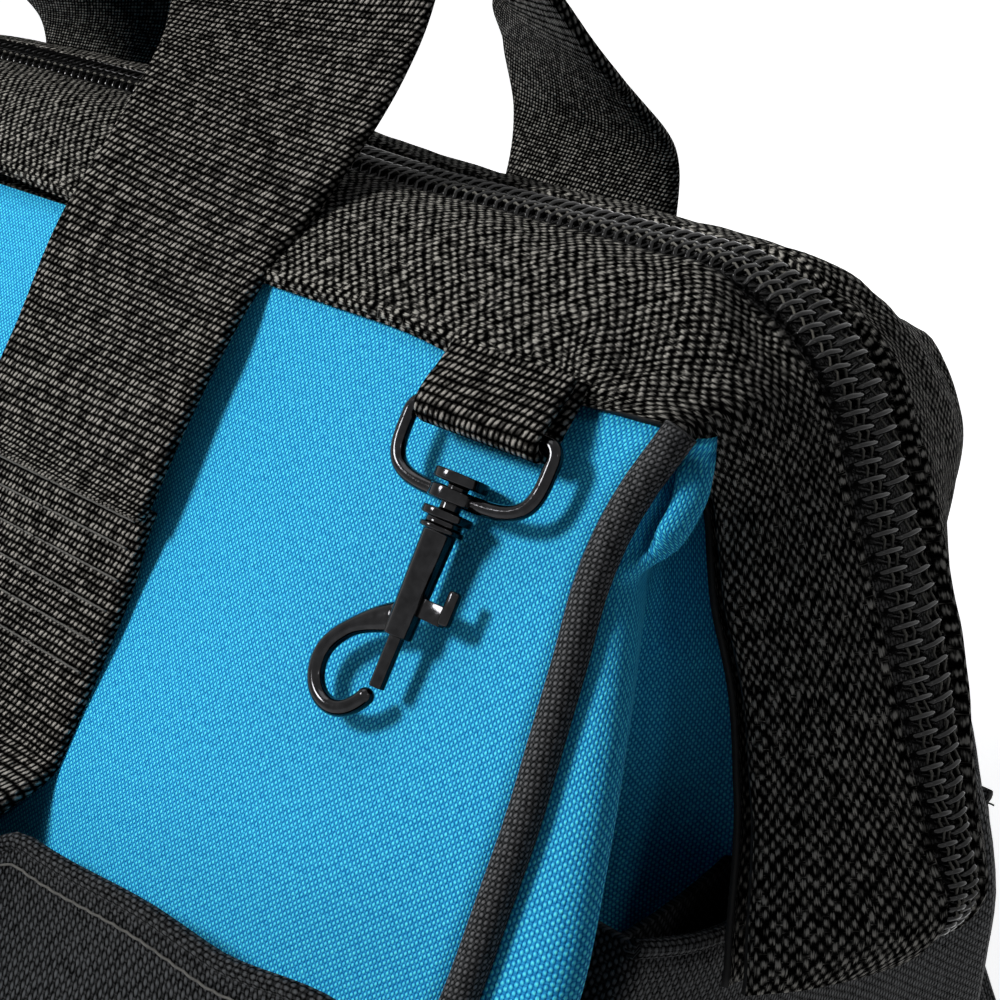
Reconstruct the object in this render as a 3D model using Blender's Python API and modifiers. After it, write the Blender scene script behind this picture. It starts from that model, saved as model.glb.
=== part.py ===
"""Gate-mouth tool bag with a zip top, webbing handles and a snap hook on a webbing tab.

Metres, +Z up, +X to the bag's right end, -Y to its front, the origin in the middle of its flat base.
Each half of the mouth turns about the fold along the top of its pockets. The back repeats the front,
turned half a turn about Z. Beside the bag's own sizes stand the share constants, which are fractions.
"""

import math

import bmesh
import bpy
from mathutils import Vector

# Base tray and board
TRAY_HALF_LENGTH = 0.1800
TRAY_HALF_DEPTH = 0.1010
TRAY_HEIGHT = 0.0300
TRAY_WALL = 0.0030
TRAY_CORNER = 0.0120
BOARD_THICKNESS = 0.0040

# Fabric panels
PANEL_THICKNESS = 0.0030
PANEL_HALF_LENGTH = 0.1677
PANEL_FOOT_CLEARANCE = 0.0004
FOLD_Y = 0.0684
FOLD_Z = 0.1624
BAND_FOOT_Y = 0.0300
BAND_FOOT_Z = 0.2360
END_PANEL_SETBACK = 0.0012
PANEL_CORNER_DROP = 0.0080
PANEL_CORNER_RUN = 0.0120
END_PANEL_TOP_Z = 0.1600
PIPING_RADIUS = 0.0026

# Pockets on the long sides and at the ends
POCKET_DEPTH = 0.0105
POCKET_SKIN = 0.0016
POCKET_RIM_BELOW_FOLD = 0.0020
POCKET_DIVIDER = 0.0060
END_POCKET_DEPTH = 0.0082
END_POCKET_HALF_WIDTH = 0.0455
END_POCKET_TOP_Z = 0.1760

# Mouth: the zip line runs level, round a corner and down each leg
ZIP_LINE_Z = 0.2485
ZIP_CORNER_X = 0.1665
ZIP_CORNER_RADIUS = 0.0300
LEG_LEAN = math.radians(24.7)
LEG_END_Z = 0.1780
CORNER_STEPS = 6

# Sleeve around the frame rod, measured from the zip line
SLEEVE_EDGE_Y = 0.0082
SLEEVE_EDGE_DEPTH = 0.0012
SLEEVE_LEG_FOOT_Y = 0.0225
SLEEVE_LEG_FOOT_DEPTH = 0.0115
SLEEVE_HEIGHT = 0.0075
SLEEVE_WALL = 0.0012
SLEEVE_CROWN = 0.0012
SLEEVE_SLOT = 0.0030
ROD_RADIUS = 0.0022
ROD_END_SHORT = 0.0040

# Zip
TAPE_THICKNESS = 0.0009
COIL_WIDTH = 0.0052
COIL_HEIGHT = 0.0030
COIL_CORNER = 0.0009
ZIP_HALF_GAP = 0.0002

# Gusset between the piping and a sleeve leg
GUSSET_THICKNESS = 0.0010
GUSSET_FOOT_Z = 0.1606
GUSSET_TOP_Z = 0.2150
GUSSET_LEVELS = 4
GUSSET_OUT = 0.0042
GUSSET_OUT_Y = 0.0090
GUSSET_IN = 0.0130
GUSSET_IN_Y = 0.0250
GUSSET_CLEAR_OF_LEG = 0.0016

# Handle webbing
WEBBING_WIDTH = 0.0440
WEBBING_THICKNESS = 0.0022
STRAP_X = 0.0720
STITCH_Z = 0.2043
HANDLE_LAP = 0.0006

# Tab, ring and snap hook, in the tab's own leaning frame
TAB_X = 0.1440
TAB_WIDTH = 0.0203
TAB_THICKNESS = 0.0017
TAB_FOLD = 0.0079
TAB_RISE = 0.0012
RING_WIRE = 0.0010
RING_HALF_WIDTH = 0.01195
RING_CORNER = 0.0018
RING_DROP = 0.0097
BOSS_RADIUS = 0.0033
NECK_CLEARANCE = 0.0001
HEAD_RADIUS = 0.0035
HEAD_HEIGHT = 0.0013
HEAD_OFF_PANEL = 0.00035
NECK_RADIUS = 0.0013
WASHER_GAP = 0.0009
WASHER_RADIUS = 0.0032
WASHER_HEIGHT = 0.0010
COLLAR_RADIUS = 0.0023
COLLAR_HEIGHT = 0.0009
FLANGE_RADIUS = 0.0028
FLANGE_HEIGHT = 0.0006
BARREL_RADIUS = 0.0020
BARREL_FOOT_RADIUS = 0.0018
BARREL_LENGTH = 0.0134
BOLT_RADIUS = 0.0010
BOLT_CLEARANCE = 0.00025
BOLT_SHOWING = 0.0065
LUG_REACH = 0.0059
LUG_HEIGHT = 0.0024
LUG_THICKNESS = 0.0011
LUG_TRAVEL = 0.0050
LUG_BAR_RADIUS = 0.00085
LUG_BAR_LENGTH = 0.0043
LUG_BAR_RAISE = 0.0012

# Hook bend: an arm leaves the barrel, a round arc follows, and the nose stops beside the bolt
HOOK_WIRE = 0.0011
ARM_HALF_HEIGHT = 0.0019
ARM_START_X = 0.0010
ARM_ABOVE_FOOT = 0.0022
ARM_TURN = (-0.0075, -0.0182)
ARC_CENTRE = (-0.00565, -0.02415)
ARC_RADIUS = 0.0046
ARC_START = math.radians(150)
ARC_END = math.radians(305)
ARC_STEPS = 8
NOSE_TURN = (-0.0017, -0.0270)
NOSE_END = (-0.00105, -0.0258)
ARM_STEPS = 5
NOSE_STEPS = 3

# Zip slider and its pull
SLIDER_X = -0.1200
SLIDER_LENGTH = 0.0130
SLIDER_HALF_WIDTH = 0.0071
SLIDER_PLATE = 0.0012
SLIDER_FLANGE = 0.0024
BRIDGE_HEIGHT = 0.0040
BRIDGE_WIDTH = 0.0022
BRIDGE_LENGTH = 0.0076
PULL_LENGTH = 0.0280
PULL_WIDTH = 0.0080
PULL_THICKNESS = 0.0014
PULL_EYE_FAR = 0.0050
BRIDGE_BAR = 0.0012

# Clearances
TOUCH_GAP = 0.0003
RUN_GAP = 0.0005
CUT_OVER = 0.0100

# Fractions of the sizes above
SLEEVE_ROD_SHARE = 0.70
SLEEVE_SHOULDER_SHARES = (0.0, 0.34, 0.70, 0.90, 1.0)
NOSE_ROUND_SHARES = (0.55, 0.90)
HALF_SHARE = 0.5
ROUND_SEGMENTS = 16
HANDLE_STEPS = 4
TAB_STEPS = 6
RING_STEPS = 16
CORNER_RING_STEPS = 4
MERGE = 0.00001
WIRE_RESOLUTION = 2

# Handle centre lines above the stitch line: (x, y, z, turn of the webbing in degrees)
FRONT_HANDLE_LINE = (
    (STRAP_X, -0.0420, 0.2210, 0),
    (STRAP_X, -0.0338, 0.2365, 4),
    (0.0722, -0.0222, 0.2520, 10),
    (0.0716, -0.0130, 0.2650, 14),
    (0.0690, -0.0080, 0.2770, 24),
    (0.0610, -0.0060, 0.2915, 48),
    (0.0470, -0.0050, 0.3030, 70),
    (0.0280, -0.0045, 0.3100, 84),
)
FRONT_HANDLE_TOP = (0.0, -0.0045, 0.3120)
BACK_HANDLE_LINE = (
    (0.0722, -0.0560, 0.2210, 2),
    (0.0724, -0.0604, 0.2360, 6),
    (0.0724, -0.0600, 0.2480, 14),
    (0.0710, -0.0530, 0.2590, 26),
    (0.0680, -0.0460, 0.2690, 38),
    (0.0600, -0.0420, 0.2840, 58),
    (0.0460, -0.0410, 0.2960, 76),
    (0.0280, -0.0410, 0.3030, 86),
)
BACK_HANDLE_TOP = (0.0, -0.0410, 0.3050)

# Worked out from the values above
PANEL_FOOT_Y = TRAY_HALF_DEPTH - TRAY_WALL - PANEL_FOOT_CLEARANCE
LOWER_LEAN = math.atan2(PANEL_FOOT_Y - FOLD_Y, FOLD_Z - TRAY_WALL)
UPPER_LEAN = math.atan2(FOLD_Y - BAND_FOOT_Y, BAND_FOOT_Z - FOLD_Z)
LOWER_LENGTH = math.hypot(PANEL_FOOT_Y - FOLD_Y, FOLD_Z - TRAY_WALL)
UPPER_LENGTH = math.hypot(FOLD_Y - BAND_FOOT_Y, BAND_FOOT_Z - FOLD_Z)
PIPING_X = PANEL_HALF_LENGTH + TOUCH_GAP + PIPING_RADIUS
BAND_SLOPE = math.atan2(ZIP_LINE_Z - SLEEVE_EDGE_DEPTH - BAND_FOOT_Z, BAND_FOOT_Y - SLEEVE_EDGE_Y)
BAND_CLEARANCE = TOUCH_GAP + SLEEVE_SLOT * math.tan(math.pi / 2 - UPPER_LEAN - BAND_SLOPE)
FOLD_CLEARANCE = TOUCH_GAP + PANEL_THICKNESS * math.tan(UPPER_LEAN - LOWER_LEAN)
LEG_DOWN = Vector((math.sin(LEG_LEAN), 0.0, -math.cos(LEG_LEAN)))
LEG_OUT = Vector((math.cos(LEG_LEAN), 0.0, math.sin(LEG_LEAN)))
STRAP_HALF = WEBBING_WIDTH * HALF_SHARE
PANEL_FOOT_RISE = TOUCH_GAP + PANEL_THICKNESS * math.tan(LOWER_LEAN)
POCKET_FOOT = (TRAY_HEIGHT + TOUCH_GAP * 2) / math.cos(LOWER_LEAN)
BOARD_HALF_LENGTH = PANEL_HALF_LENGTH
BOARD_HALF_DEPTH = PANEL_FOOT_Y - PANEL_THICKNESS - BOARD_THICKNESS * HALF_SHARE
END_PANEL_X = PIPING_X - END_PANEL_SETBACK
END_CORNER = (PANEL_THICKNESS * HALF_SHARE + PIPING_RADIUS) / math.cos(LOWER_LEAN) + TOUCH_GAP * 2
PIPING_TOP_SHORT = PIPING_RADIUS * 6
RING_Y = -(HEAD_RADIUS + HEAD_OFF_PANEL)
WASHER_TOP = -(RING_WIRE + WASHER_GAP)
BARREL_TOP = WASHER_TOP - WASHER_HEIGHT - COLLAR_HEIGHT - FLANGE_HEIGHT
BARREL_FOOT = BARREL_TOP - BARREL_LENGTH
BOLT_FOOT = BARREL_FOOT - BOLT_SHOWING
BOLT_LENGTH = BARREL_LENGTH * HALF_SHARE + BOLT_SHOWING
BOLT_CENTRE = BOLT_FOOT + BOLT_LENGTH * HALF_SHARE
BORE_LENGTH = BOLT_LENGTH + LUG_TRAVEL
BORE_CENTRE = BOLT_CENTRE + LUG_TRAVEL * HALF_SHARE
LUG_Z = BOLT_FOOT + BOLT_LENGTH - LUG_HEIGHT
PULL_EYE = PULL_THICKNESS * HALF_SHARE
PULL_PIN_Z = SLIDER_PLATE + (BRIDGE_HEIGHT - BRIDGE_BAR) * HALF_SHARE
STITCH_UP = (STITCH_Z - FOLD_Z) / math.cos(UPPER_LEAN)
HANDLE_OUT = TOUCH_GAP * 2 + WEBBING_THICKNESS + WEBBING_THICKNESS * HALF_SHARE
QUARTER_ABOUT_Y = ((0, 0, 1), (0, 1, 0), (-1, 0, 0))
QUARTER_ABOUT_X = ((1, 0, 0), (0, 0, -1), (0, 1, 0))


def clear_scene():
    for obj in list(bpy.data.objects):
        bpy.data.objects.remove(obj)


def new_collection(name):
    collection = bpy.data.collections.new(name)
    bpy.context.scene.collection.children.link(collection)
    return collection


def make_material(name, colour, roughness, metallic=0.0):
    material = bpy.data.materials.new(name)
    material.use_nodes = True
    shader = material.node_tree.nodes["Principled BSDF"]
    shader.inputs["Base Color"].default_value = (*colour, 1.0)
    shader.inputs["Roughness"].default_value = roughness
    shader.inputs["Metallic"].default_value = metallic
    return material


def add_empty(name, location, parent=None):
    empty = bpy.data.objects.new(name, None)
    empty.empty_display_size = TRAY_HEIGHT
    BAG.objects.link(empty)
    empty.parent = parent
    empty.location = Vector(location) - (world_origin(parent) if parent else Vector())
    return empty


def world_origin(obj):
    origin = Vector(obj.location)
    while obj.parent:
        obj = obj.parent
        origin += Vector(obj.location)
    return origin


def add_object(name, data, material, origin=(0, 0, 0), turn=(0, 0, 0), parent=None):
    obj = bpy.data.objects.new(name, data)
    BAG.objects.link(obj)
    data.materials.append(material)
    obj.parent = parent
    obj.location = Vector(origin) - (world_origin(parent) if parent else Vector())
    obj.rotation_euler = turn
    return obj


def mesh_from(bm, name):
    bmesh.ops.recalc_face_normals(bm, faces=bm.faces)
    mesh = bpy.data.meshes.new(name)
    bm.to_mesh(mesh)
    bm.free()
    return mesh


def box_mesh(name, low, high):
    bm = bmesh.new()
    bmesh.ops.create_cube(bm, size=1.0)
    size = Vector(high) - Vector(low)
    bmesh.ops.scale(bm, vec=size, verts=bm.verts)
    bmesh.ops.translate(bm, vec=(Vector(high) + Vector(low)) * HALF_SHARE, verts=bm.verts)
    return mesh_from(bm, name)


def loft_mesh(name, rings, closed=False):
    """A solid through rings of equally many points, with a face at each end or back to its start."""
    bm = bmesh.new()
    rows = [[bm.verts.new(point) for point in ring] for ring in rings]
    count = len(rows[0])
    onward = rows[1:] + rows[:1] if closed else rows[1:]
    for row, following in zip(rows, onward):
        for i in range(count):
            j = (i + 1) % count
            bm.faces.new((row[i], row[j], following[j], following[i]))
    if not closed:
        bm.faces.new(rows[0])
        bm.faces.new(rows[-1][::-1])
    return mesh_from(bm, name)


def surface_mesh(name, rows):
    """An open surface through rows of points, for a Solidify modifier."""
    bm = bmesh.new()
    rows = [[bm.verts.new(point) for point in row] for row in rows]
    for row, following in zip(rows, rows[1:]):
        for i in range(len(row) - 1):
            bm.faces.new((row[i], row[i + 1], following[i + 1], following[i]))
    return mesh_from(bm, name)


def wire_curve(name, points, radius):
    curve = bpy.data.curves.new(name, "CURVE")
    curve.dimensions = "3D"
    curve.bevel_depth = radius
    curve.bevel_resolution = WIRE_RESOLUTION
    curve.use_fill_caps = True
    spline = curve.splines.new("POLY")
    spline.points.add(len(points) - 1)
    for slot, point in zip(spline.points, points):
        slot.co = (*point, 1.0)
    return curve


def cylinder_mesh(name, radius, length, axis="Z", centre=(0, 0, 0), segments=ROUND_SEGMENTS):
    bm = bmesh.new()
    bmesh.ops.create_cone(
        bm, cap_ends=True, segments=segments, radius1=radius, radius2=radius, depth=length
    )
    if axis == "X":
        bmesh.ops.rotate(bm, matrix=QUARTER_ABOUT_Y, verts=bm.verts)
    if axis == "Y":
        bmesh.ops.rotate(bm, matrix=QUARTER_ABOUT_X, verts=bm.verts)
    bmesh.ops.translate(bm, vec=centre, verts=bm.verts)
    return mesh_from(bm, name)


def add_bevel(obj, width, segments=2):
    bevel = obj.modifiers.new("Bevel", "BEVEL")
    bevel.width = width
    bevel.segments = segments
    bevel.limit_method = "ANGLE"
    return bevel


def add_solidify(obj, thickness, offset):
    solidify = obj.modifiers.new("Solidify", "SOLIDIFY")
    solidify.thickness = thickness
    solidify.offset = offset
    solidify.use_even_offset = True
    return solidify


def add_boolean(obj, other, operation):
    boolean = obj.modifiers.new(operation.title(), "BOOLEAN")
    boolean.operation = operation
    boolean.solver = "EXACT"
    boolean.object = other
    return boolean


def add_cutter(name, mesh, like):
    """A hidden shape for a Boolean, in the same place and turn as the piece it works on."""
    cutter = bpy.data.objects.new(name, mesh)
    CUTTERS.objects.link(cutter)
    cutter.parent = like.parent
    cutter.location = like.location
    cutter.rotation_euler = like.rotation_euler
    cutter.hide_render = True
    cutter.display_type = "WIRE"
    return cutter


# Zip line and what is swept along it


def zip_stations():
    """(point, outward, straightness) along the zip line from the left leg's end to the right leg's.

    Straightness is 1 on the level part and 0 on a leg.
    """
    right = []
    turn = math.pi / 2 - LEG_LEAN
    tangent = ZIP_CORNER_RADIUS * math.tan(turn * HALF_SHARE)
    centre = Vector((ZIP_CORNER_X - tangent, 0.0, ZIP_LINE_Z - ZIP_CORNER_RADIUS))
    for step in range(CORNER_STEPS + 1):
        angle = turn * step / CORNER_STEPS
        outward = Vector((math.sin(angle), 0.0, math.cos(angle)))
        right.append((centre + outward * ZIP_CORNER_RADIUS, outward, 1 - step / CORNER_STEPS))
    start = right[-1][0]
    leg_length = (start.z - LEG_END_Z) / math.cos(LEG_LEAN)
    for share in (HALF_SHARE, 1):
        right.append((start + LEG_DOWN * leg_length * share, LEG_OUT, 0.0))
    left = [
        (Vector((-point.x, 0.0, point.z)), Vector((-outward.x, 0.0, outward.z)), straight)
        for point, outward, straight in reversed(right)
    ]
    return left + right


def at_station(station, y, depth):
    point, outward, _ = station
    return point - outward * depth + Vector((0.0, y, 0.0))


def sleeve_frame(station):
    """(foot, along, out) of the sleeve's cross-section at a station, in (y, depth) pairs."""
    straight = station[2]
    foot_y = straight * BAND_FOOT_Y + (1 - straight) * SLEEVE_LEG_FOOT_Y
    foot_depth = straight * (ZIP_LINE_Z - BAND_FOOT_Z) + (1 - straight) * SLEEVE_LEG_FOOT_DEPTH
    foot = Vector((-foot_y, foot_depth))
    edge = Vector((-SLEEVE_EDGE_Y, SLEEVE_EDGE_DEPTH))
    along = edge - foot
    out = Vector((along.y, -along.x)).normalized()
    return foot, along, out


def sleeve_point(station, share, height):
    foot, along, out = sleeve_frame(station)
    upright = share - height * along.y / along.x / along.length * share
    y, depth = foot + along * upright + out * height
    return at_station(station, y, depth)


def sleeve_ring(station):
    """The sleeve's wall round the rod, open along its foot, where the panel goes in."""
    outer = []
    inner = []
    for share in SLEEVE_SHOULDER_SHARES:
        crown = SLEEVE_CROWN * math.sin(math.pi * min(share, 1 - share) ** HALF_SHARE)
        swell = math.sin(math.pi * HALF_SHARE * min(share / SLEEVE_ROD_SHARE, 1))
        depth = SLEEVE_SLOT + (SLEEVE_HEIGHT - SLEEVE_SLOT) * swell
        outer.append((share, crown))
        inner.append((share, -depth))
    edge = SLEEVE_HEIGHT * HALF_SHARE
    outer[-1] = (1.0, -SLEEVE_WALL)
    inner[-1] = (1.0, -SLEEVE_HEIGHT + SLEEVE_WALL)
    ring = [sleeve_point(station, *pair) for pair in outer + inner[::-1]]
    wall_share = SLEEVE_WALL / sleeve_frame(station)[1].length
    hollow = []
    for share, height in inner[:-1]:
        hollow.append((share, height + SLEEVE_WALL))
    hollow.append((1.0 - wall_share, -edge - SLEEVE_WALL))
    hollow.append((1.0 - wall_share, -edge + SLEEVE_WALL))
    for share, height in outer[-2::-1]:
        hollow.append((share, height - SLEEVE_WALL))
    return ring + [sleeve_point(station, *pair) for pair in hollow]


def section_rings(stations, pairs):
    """One ring a station, from (y, depth) pairs."""
    return [[at_station(station, y, depth) for y, depth in pairs] for station in stations]


def coil_pairs():
    near = -ZIP_HALF_GAP
    far = near - COIL_WIDTH
    c = COIL_CORNER
    return (
        (near, c),
        (near - c, 0.0),
        (far + c, 0.0),
        (far, c),
        (far, COIL_HEIGHT - c),
        (far + c, COIL_HEIGHT),
        (near - c, COIL_HEIGHT),
        (near, COIL_HEIGHT - c),
    )


def tape_pairs():
    near = -ZIP_HALF_GAP
    far = -SLEEVE_EDGE_Y + TOUCH_GAP
    top = COIL_HEIGHT + TOUCH_GAP
    return ((near, top), (far, top), (far, top + TAPE_THICKNESS), (near, top + TAPE_THICKNESS))


def smoothed(stations):
    """The same line with HANDLE_STEPS stations in each length, on a curve through the given ones."""
    finer = []
    last = len(stations) - 1
    for i in range(last):
        window = [stations[min(max(k, 0), last)] for k in (i - 1, i, i + 1, i + 2)]
        for step in range(HANDLE_STEPS):
            t = step / HANDLE_STEPS
            weights = (
                (2 * t * t - t**3 - t) / 2,
                (3 * t**3 - 5 * t * t + 2) / 2,
                (4 * t * t - 3 * t**3 + t) / 2,
                (t**3 - t * t) / 2,
            )
            point = Vector()
            turn = 0.0
            for weight, (place, angle) in zip(weights, window):
                point += place * weight
                turn += angle * weight
            finer.append((point, turn))
    return finer + [stations[-1]]


def webbing_rings(line, top):
    """Rings along a handle from its right foot over the top to its left foot."""
    right = [(Vector((STRAP_X, *HANDLE_FOOT[1:])), 0.0)]
    right += [(Vector(row[:3]), math.radians(row[3])) for row in line]
    crest = (Vector(top), math.pi / 2)
    left = [(Vector((-p.x, p.y, p.z)), math.pi - angle) for p, angle in reversed(right)]
    stations = smoothed(right + [crest] + left)
    rings = []
    for i, (point, angle) in enumerate(stations):
        before = stations[max(i - 1, 0)][0]
        after = stations[min(i + 1, len(stations) - 1)][0]
        tangent = (after - before).normalized()
        across = Vector((math.cos(angle), math.sin(angle), 0.0))
        across = (across - tangent * across.dot(tangent)).normalized()
        normal = tangent.cross(across)
        a = across * WEBBING_WIDTH * HALF_SHARE
        n = normal * WEBBING_THICKNESS * HALF_SHARE
        rings.append([point - a - n, point + a - n, point + a + n, point - a + n])
    return rings


# Pieces of the fixed lower body


def build_base():
    tray = add_object(
        "base_tray",
        tray_mesh(),
        MOULDED,
    )
    add_solidify(tray, TRAY_WALL, -1.0)
    add_object(
        "base_board",
        box_mesh(
            "base_board",
            (-BOARD_HALF_LENGTH, -BOARD_HALF_DEPTH, TRAY_WALL + TOUCH_GAP),
            (BOARD_HALF_LENGTH, BOARD_HALF_DEPTH, TRAY_WALL + TOUCH_GAP + BOARD_THICKNESS),
        ),
        LINING,
    )


def tray_mesh():
    bm = bmesh.new()
    bmesh.ops.create_cube(bm, size=1.0)
    size = (TRAY_HALF_LENGTH * 2, TRAY_HALF_DEPTH * 2, TRAY_HEIGHT)
    bmesh.ops.scale(bm, vec=size, verts=bm.verts)
    bmesh.ops.translate(bm, vec=(0, 0, TRAY_HEIGHT * HALF_SHARE), verts=bm.verts)
    posts = [e for e in bm.edges if abs(e.verts[0].co.z - e.verts[1].co.z) > TRAY_WALL]
    bmesh.ops.bevel(bm, geom=posts, offset=TRAY_CORNER, segments=4, affect="EDGES", profile=HALF_SHARE)
    lid = [f for f in bm.faces if f.calc_center_median().z > TRAY_HEIGHT - TRAY_WALL]
    bmesh.ops.delete(bm, geom=lid, context="FACES_ONLY")
    return mesh_from(bm, "base_tray")


def build_lower_side(side, turn):
    """Panel, pocket, straps and piping of one long side, below the fold."""
    foot = (0, -PANEL_FOOT_Y, TRAY_WALL)
    foot = foot if turn == 0 else (0, PANEL_FOOT_Y, TRAY_WALL)
    lean = (-LOWER_LEAN, 0, turn)
    top = LOWER_LENGTH - TOUCH_GAP
    panel = box_mesh(
        side + "_lower_panel",
        (-PANEL_HALF_LENGTH, 0, PANEL_FOOT_RISE),
        (PANEL_HALF_LENGTH, PANEL_THICKNESS, top),
    )
    add_object(side + "_lower_panel", panel, BLUE, foot, lean)
    rim = LOWER_LENGTH - POCKET_RIM_BELOW_FOLD
    back = -TOUCH_GAP
    face = back - POCKET_DEPTH
    pocket = add_object(
        side + "_pocket",
        box_mesh(
            side + "_pocket",
            (-PANEL_HALF_LENGTH, face, POCKET_FOOT),
            (PANEL_HALF_LENGTH, back, rim),
        ),
        BLACK,
        foot,
        lean,
    )
    inner_edge = STRAP_X - POCKET_DIVIDER * HALF_SHARE
    outer_edge = STRAP_X + POCKET_DIVIDER * HALF_SHARE
    end = PANEL_HALF_LENGTH - POCKET_SKIN
    for label, low, high in (
        ("left", -end, -outer_edge),
        ("middle", -inner_edge, inner_edge),
        ("right", outer_edge, end),
    ):
        name = side + "_pocket_" + label + "_cutter"
        cutter = box_mesh(
            name,
            (low, face + POCKET_SKIN, POCKET_FOOT + POCKET_SKIN),
            (high, back - POCKET_SKIN, rim + CUT_OVER),
        )
        add_boolean(pocket, add_cutter(name, cutter, pocket), "DIFFERENCE")
    strap_back = face - TOUCH_GAP
    for label, x in (("left", -STRAP_X), ("right", STRAP_X)):
        sign = 1 if turn == 0 else -1
        name = side + "_" + label + "_lower_strap"
        strap = box_mesh(
            name,
            (sign * x - STRAP_HALF, strap_back - WEBBING_THICKNESS, POCKET_FOOT),
            (sign * x + STRAP_HALF, strap_back, rim),
        )
        add_object(name, strap, WEBBING, foot, lean)
        name = side + "_" + label + "_lower_piping"
        pipe_x = math.copysign(PIPING_X, sign * x)
        middle = PANEL_THICKNESS * HALF_SHARE
        piping = wire_curve(
            name,
            ((pipe_x, middle, POCKET_FOOT), (pipe_x, middle, LOWER_LENGTH - PIPING_RADIUS)),
            PIPING_RADIUS,
        )
        add_object(name, piping, PIPING, foot, lean)


def build_end(label, sign):
    """End wall and its pocket."""
    foot_y = PANEL_FOOT_Y - END_CORNER
    head_y = PANEL_FOOT_Y - END_CORNER - (END_PANEL_TOP_Z - TRAY_WALL) * math.tan(LOWER_LEAN)
    inner = sign * END_PANEL_X
    outer = sign * (END_PANEL_X + PANEL_THICKNESS)
    low = TRAY_WALL + TOUCH_GAP
    bottom = [(inner, -foot_y, low), (outer, -foot_y, low), (outer, foot_y, low), (inner, foot_y, low)]
    top = [(x, math.copysign(head_y, y), END_PANEL_TOP_Z) for x, y, _ in bottom]
    add_object(label + "_end_panel", loft_mesh(label + "_end_panel", (bottom, top)), BLUE)
    near = END_PANEL_X + PANEL_THICKNESS + TOUCH_GAP
    far = near + END_POCKET_DEPTH
    width = END_POCKET_HALF_WIDTH
    low_x, high_x = sorted((sign * near, sign * far))
    pocket = add_object(
        label + "_end_pocket",
        box_mesh(
            label + "_end_pocket",
            (low_x, -width, TRAY_HEIGHT + TOUCH_GAP),
            (high_x, width, END_POCKET_TOP_Z),
        ),
        BLACK,
    )
    name = label + "_end_pocket_cutter"
    cutter = box_mesh(
        name,
        (low_x + POCKET_SKIN, -width + POCKET_SKIN, TRAY_HEIGHT + TOUCH_GAP + POCKET_SKIN),
        (high_x - POCKET_SKIN, width - POCKET_SKIN, END_POCKET_TOP_Z + CUT_OVER),
    )
    add_boolean(pocket, add_cutter(name, cutter, pocket), "DIFFERENCE")


# Pieces of one half of the mouth


def build_mouth(side, turn, parent):
    fold = (0, -FOLD_Y, FOLD_Z) if turn == 0 else (0, FOLD_Y, FOLD_Z)
    lean = (-UPPER_LEAN, 0, turn)
    top = UPPER_LENGTH - BAND_CLEARANCE
    half = PANEL_HALF_LENGTH
    outline = (
        (-half, FOLD_CLEARANCE),
        (half, FOLD_CLEARANCE),
        (half, top - PANEL_CORNER_DROP),
        (half - PANEL_CORNER_RUN, top),
        (PANEL_CORNER_RUN - half, top),
        (-half, top - PANEL_CORNER_DROP),
    )
    rings = [[(x, y, z) for x, z in outline] for y in (0, PANEL_THICKNESS)]
    panel = loft_mesh(side + "_upper_panel", rings)
    add_object(side + "_upper_panel", panel, BLUE, fold, lean, parent)
    stations = zip_stations()
    around = (0, 0, turn)
    rings = [sleeve_ring(station) for station in stations]
    add_object(side + "_sleeve", loft_mesh(side + "_sleeve", rings), BAND, (0, 0, 0), around, parent)
    rod_height = -SLEEVE_HEIGHT * HALF_SHARE + SLEEVE_CROWN * HALF_SHARE
    rod_line = [sleeve_point(station, SLEEVE_ROD_SHARE, rod_height) for station in stations]
    for end, following in ((0, 1), (-1, -2)):
        inward = (rod_line[following] - rod_line[end]).normalized()
        rod_line[end] = rod_line[end] + inward * ROD_END_SHORT
    rod = wire_curve(side + "_frame_rod", rod_line, ROD_RADIUS)
    add_object(side + "_frame_rod", rod, STEEL, (0, 0, 0), around, parent)
    tape = loft_mesh(side + "_zip_tape", section_rings(stations, tape_pairs()))
    add_object(side + "_zip_tape", tape, TAPE, (0, 0, 0), around, parent)
    coil = loft_mesh(side + "_zip_coil", section_rings(stations, coil_pairs()))
    add_object(side + "_zip_coil", coil, NYLON, (0, 0, 0), around, parent)
    for label, x in (("left", -1), ("right", 1)):
        sign = x if turn == 0 else -x
        name = side + "_" + label + "_upper_strap"
        strap = box_mesh(
            name,
            (sign * STRAP_X - STRAP_HALF, -TOUCH_GAP - WEBBING_THICKNESS, TOUCH_GAP),
            (sign * STRAP_X + STRAP_HALF, -TOUCH_GAP, STITCH_UP),
        )
        add_object(name, strap, WEBBING, fold, lean, parent)
        name = side + "_" + label + "_upper_piping"
        middle = PANEL_THICKNESS * HALF_SHARE
        piping = wire_curve(
            name,
            (
                (sign * PIPING_X, middle, PIPING_RADIUS * HALF_SHARE),
                (sign * PIPING_X, middle, UPPER_LENGTH - PIPING_TOP_SHORT),
            ),
            PIPING_RADIUS,
        )
        add_object(name, piping, PIPING, fold, lean, parent)
        name = side + "_" + label + "_gusset"
        gusset = add_object(name, gusset_mesh(name, sign), BLUE, (0, 0, 0), around, parent)
        add_solidify(gusset, GUSSET_THICKNESS, 0.0)


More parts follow.
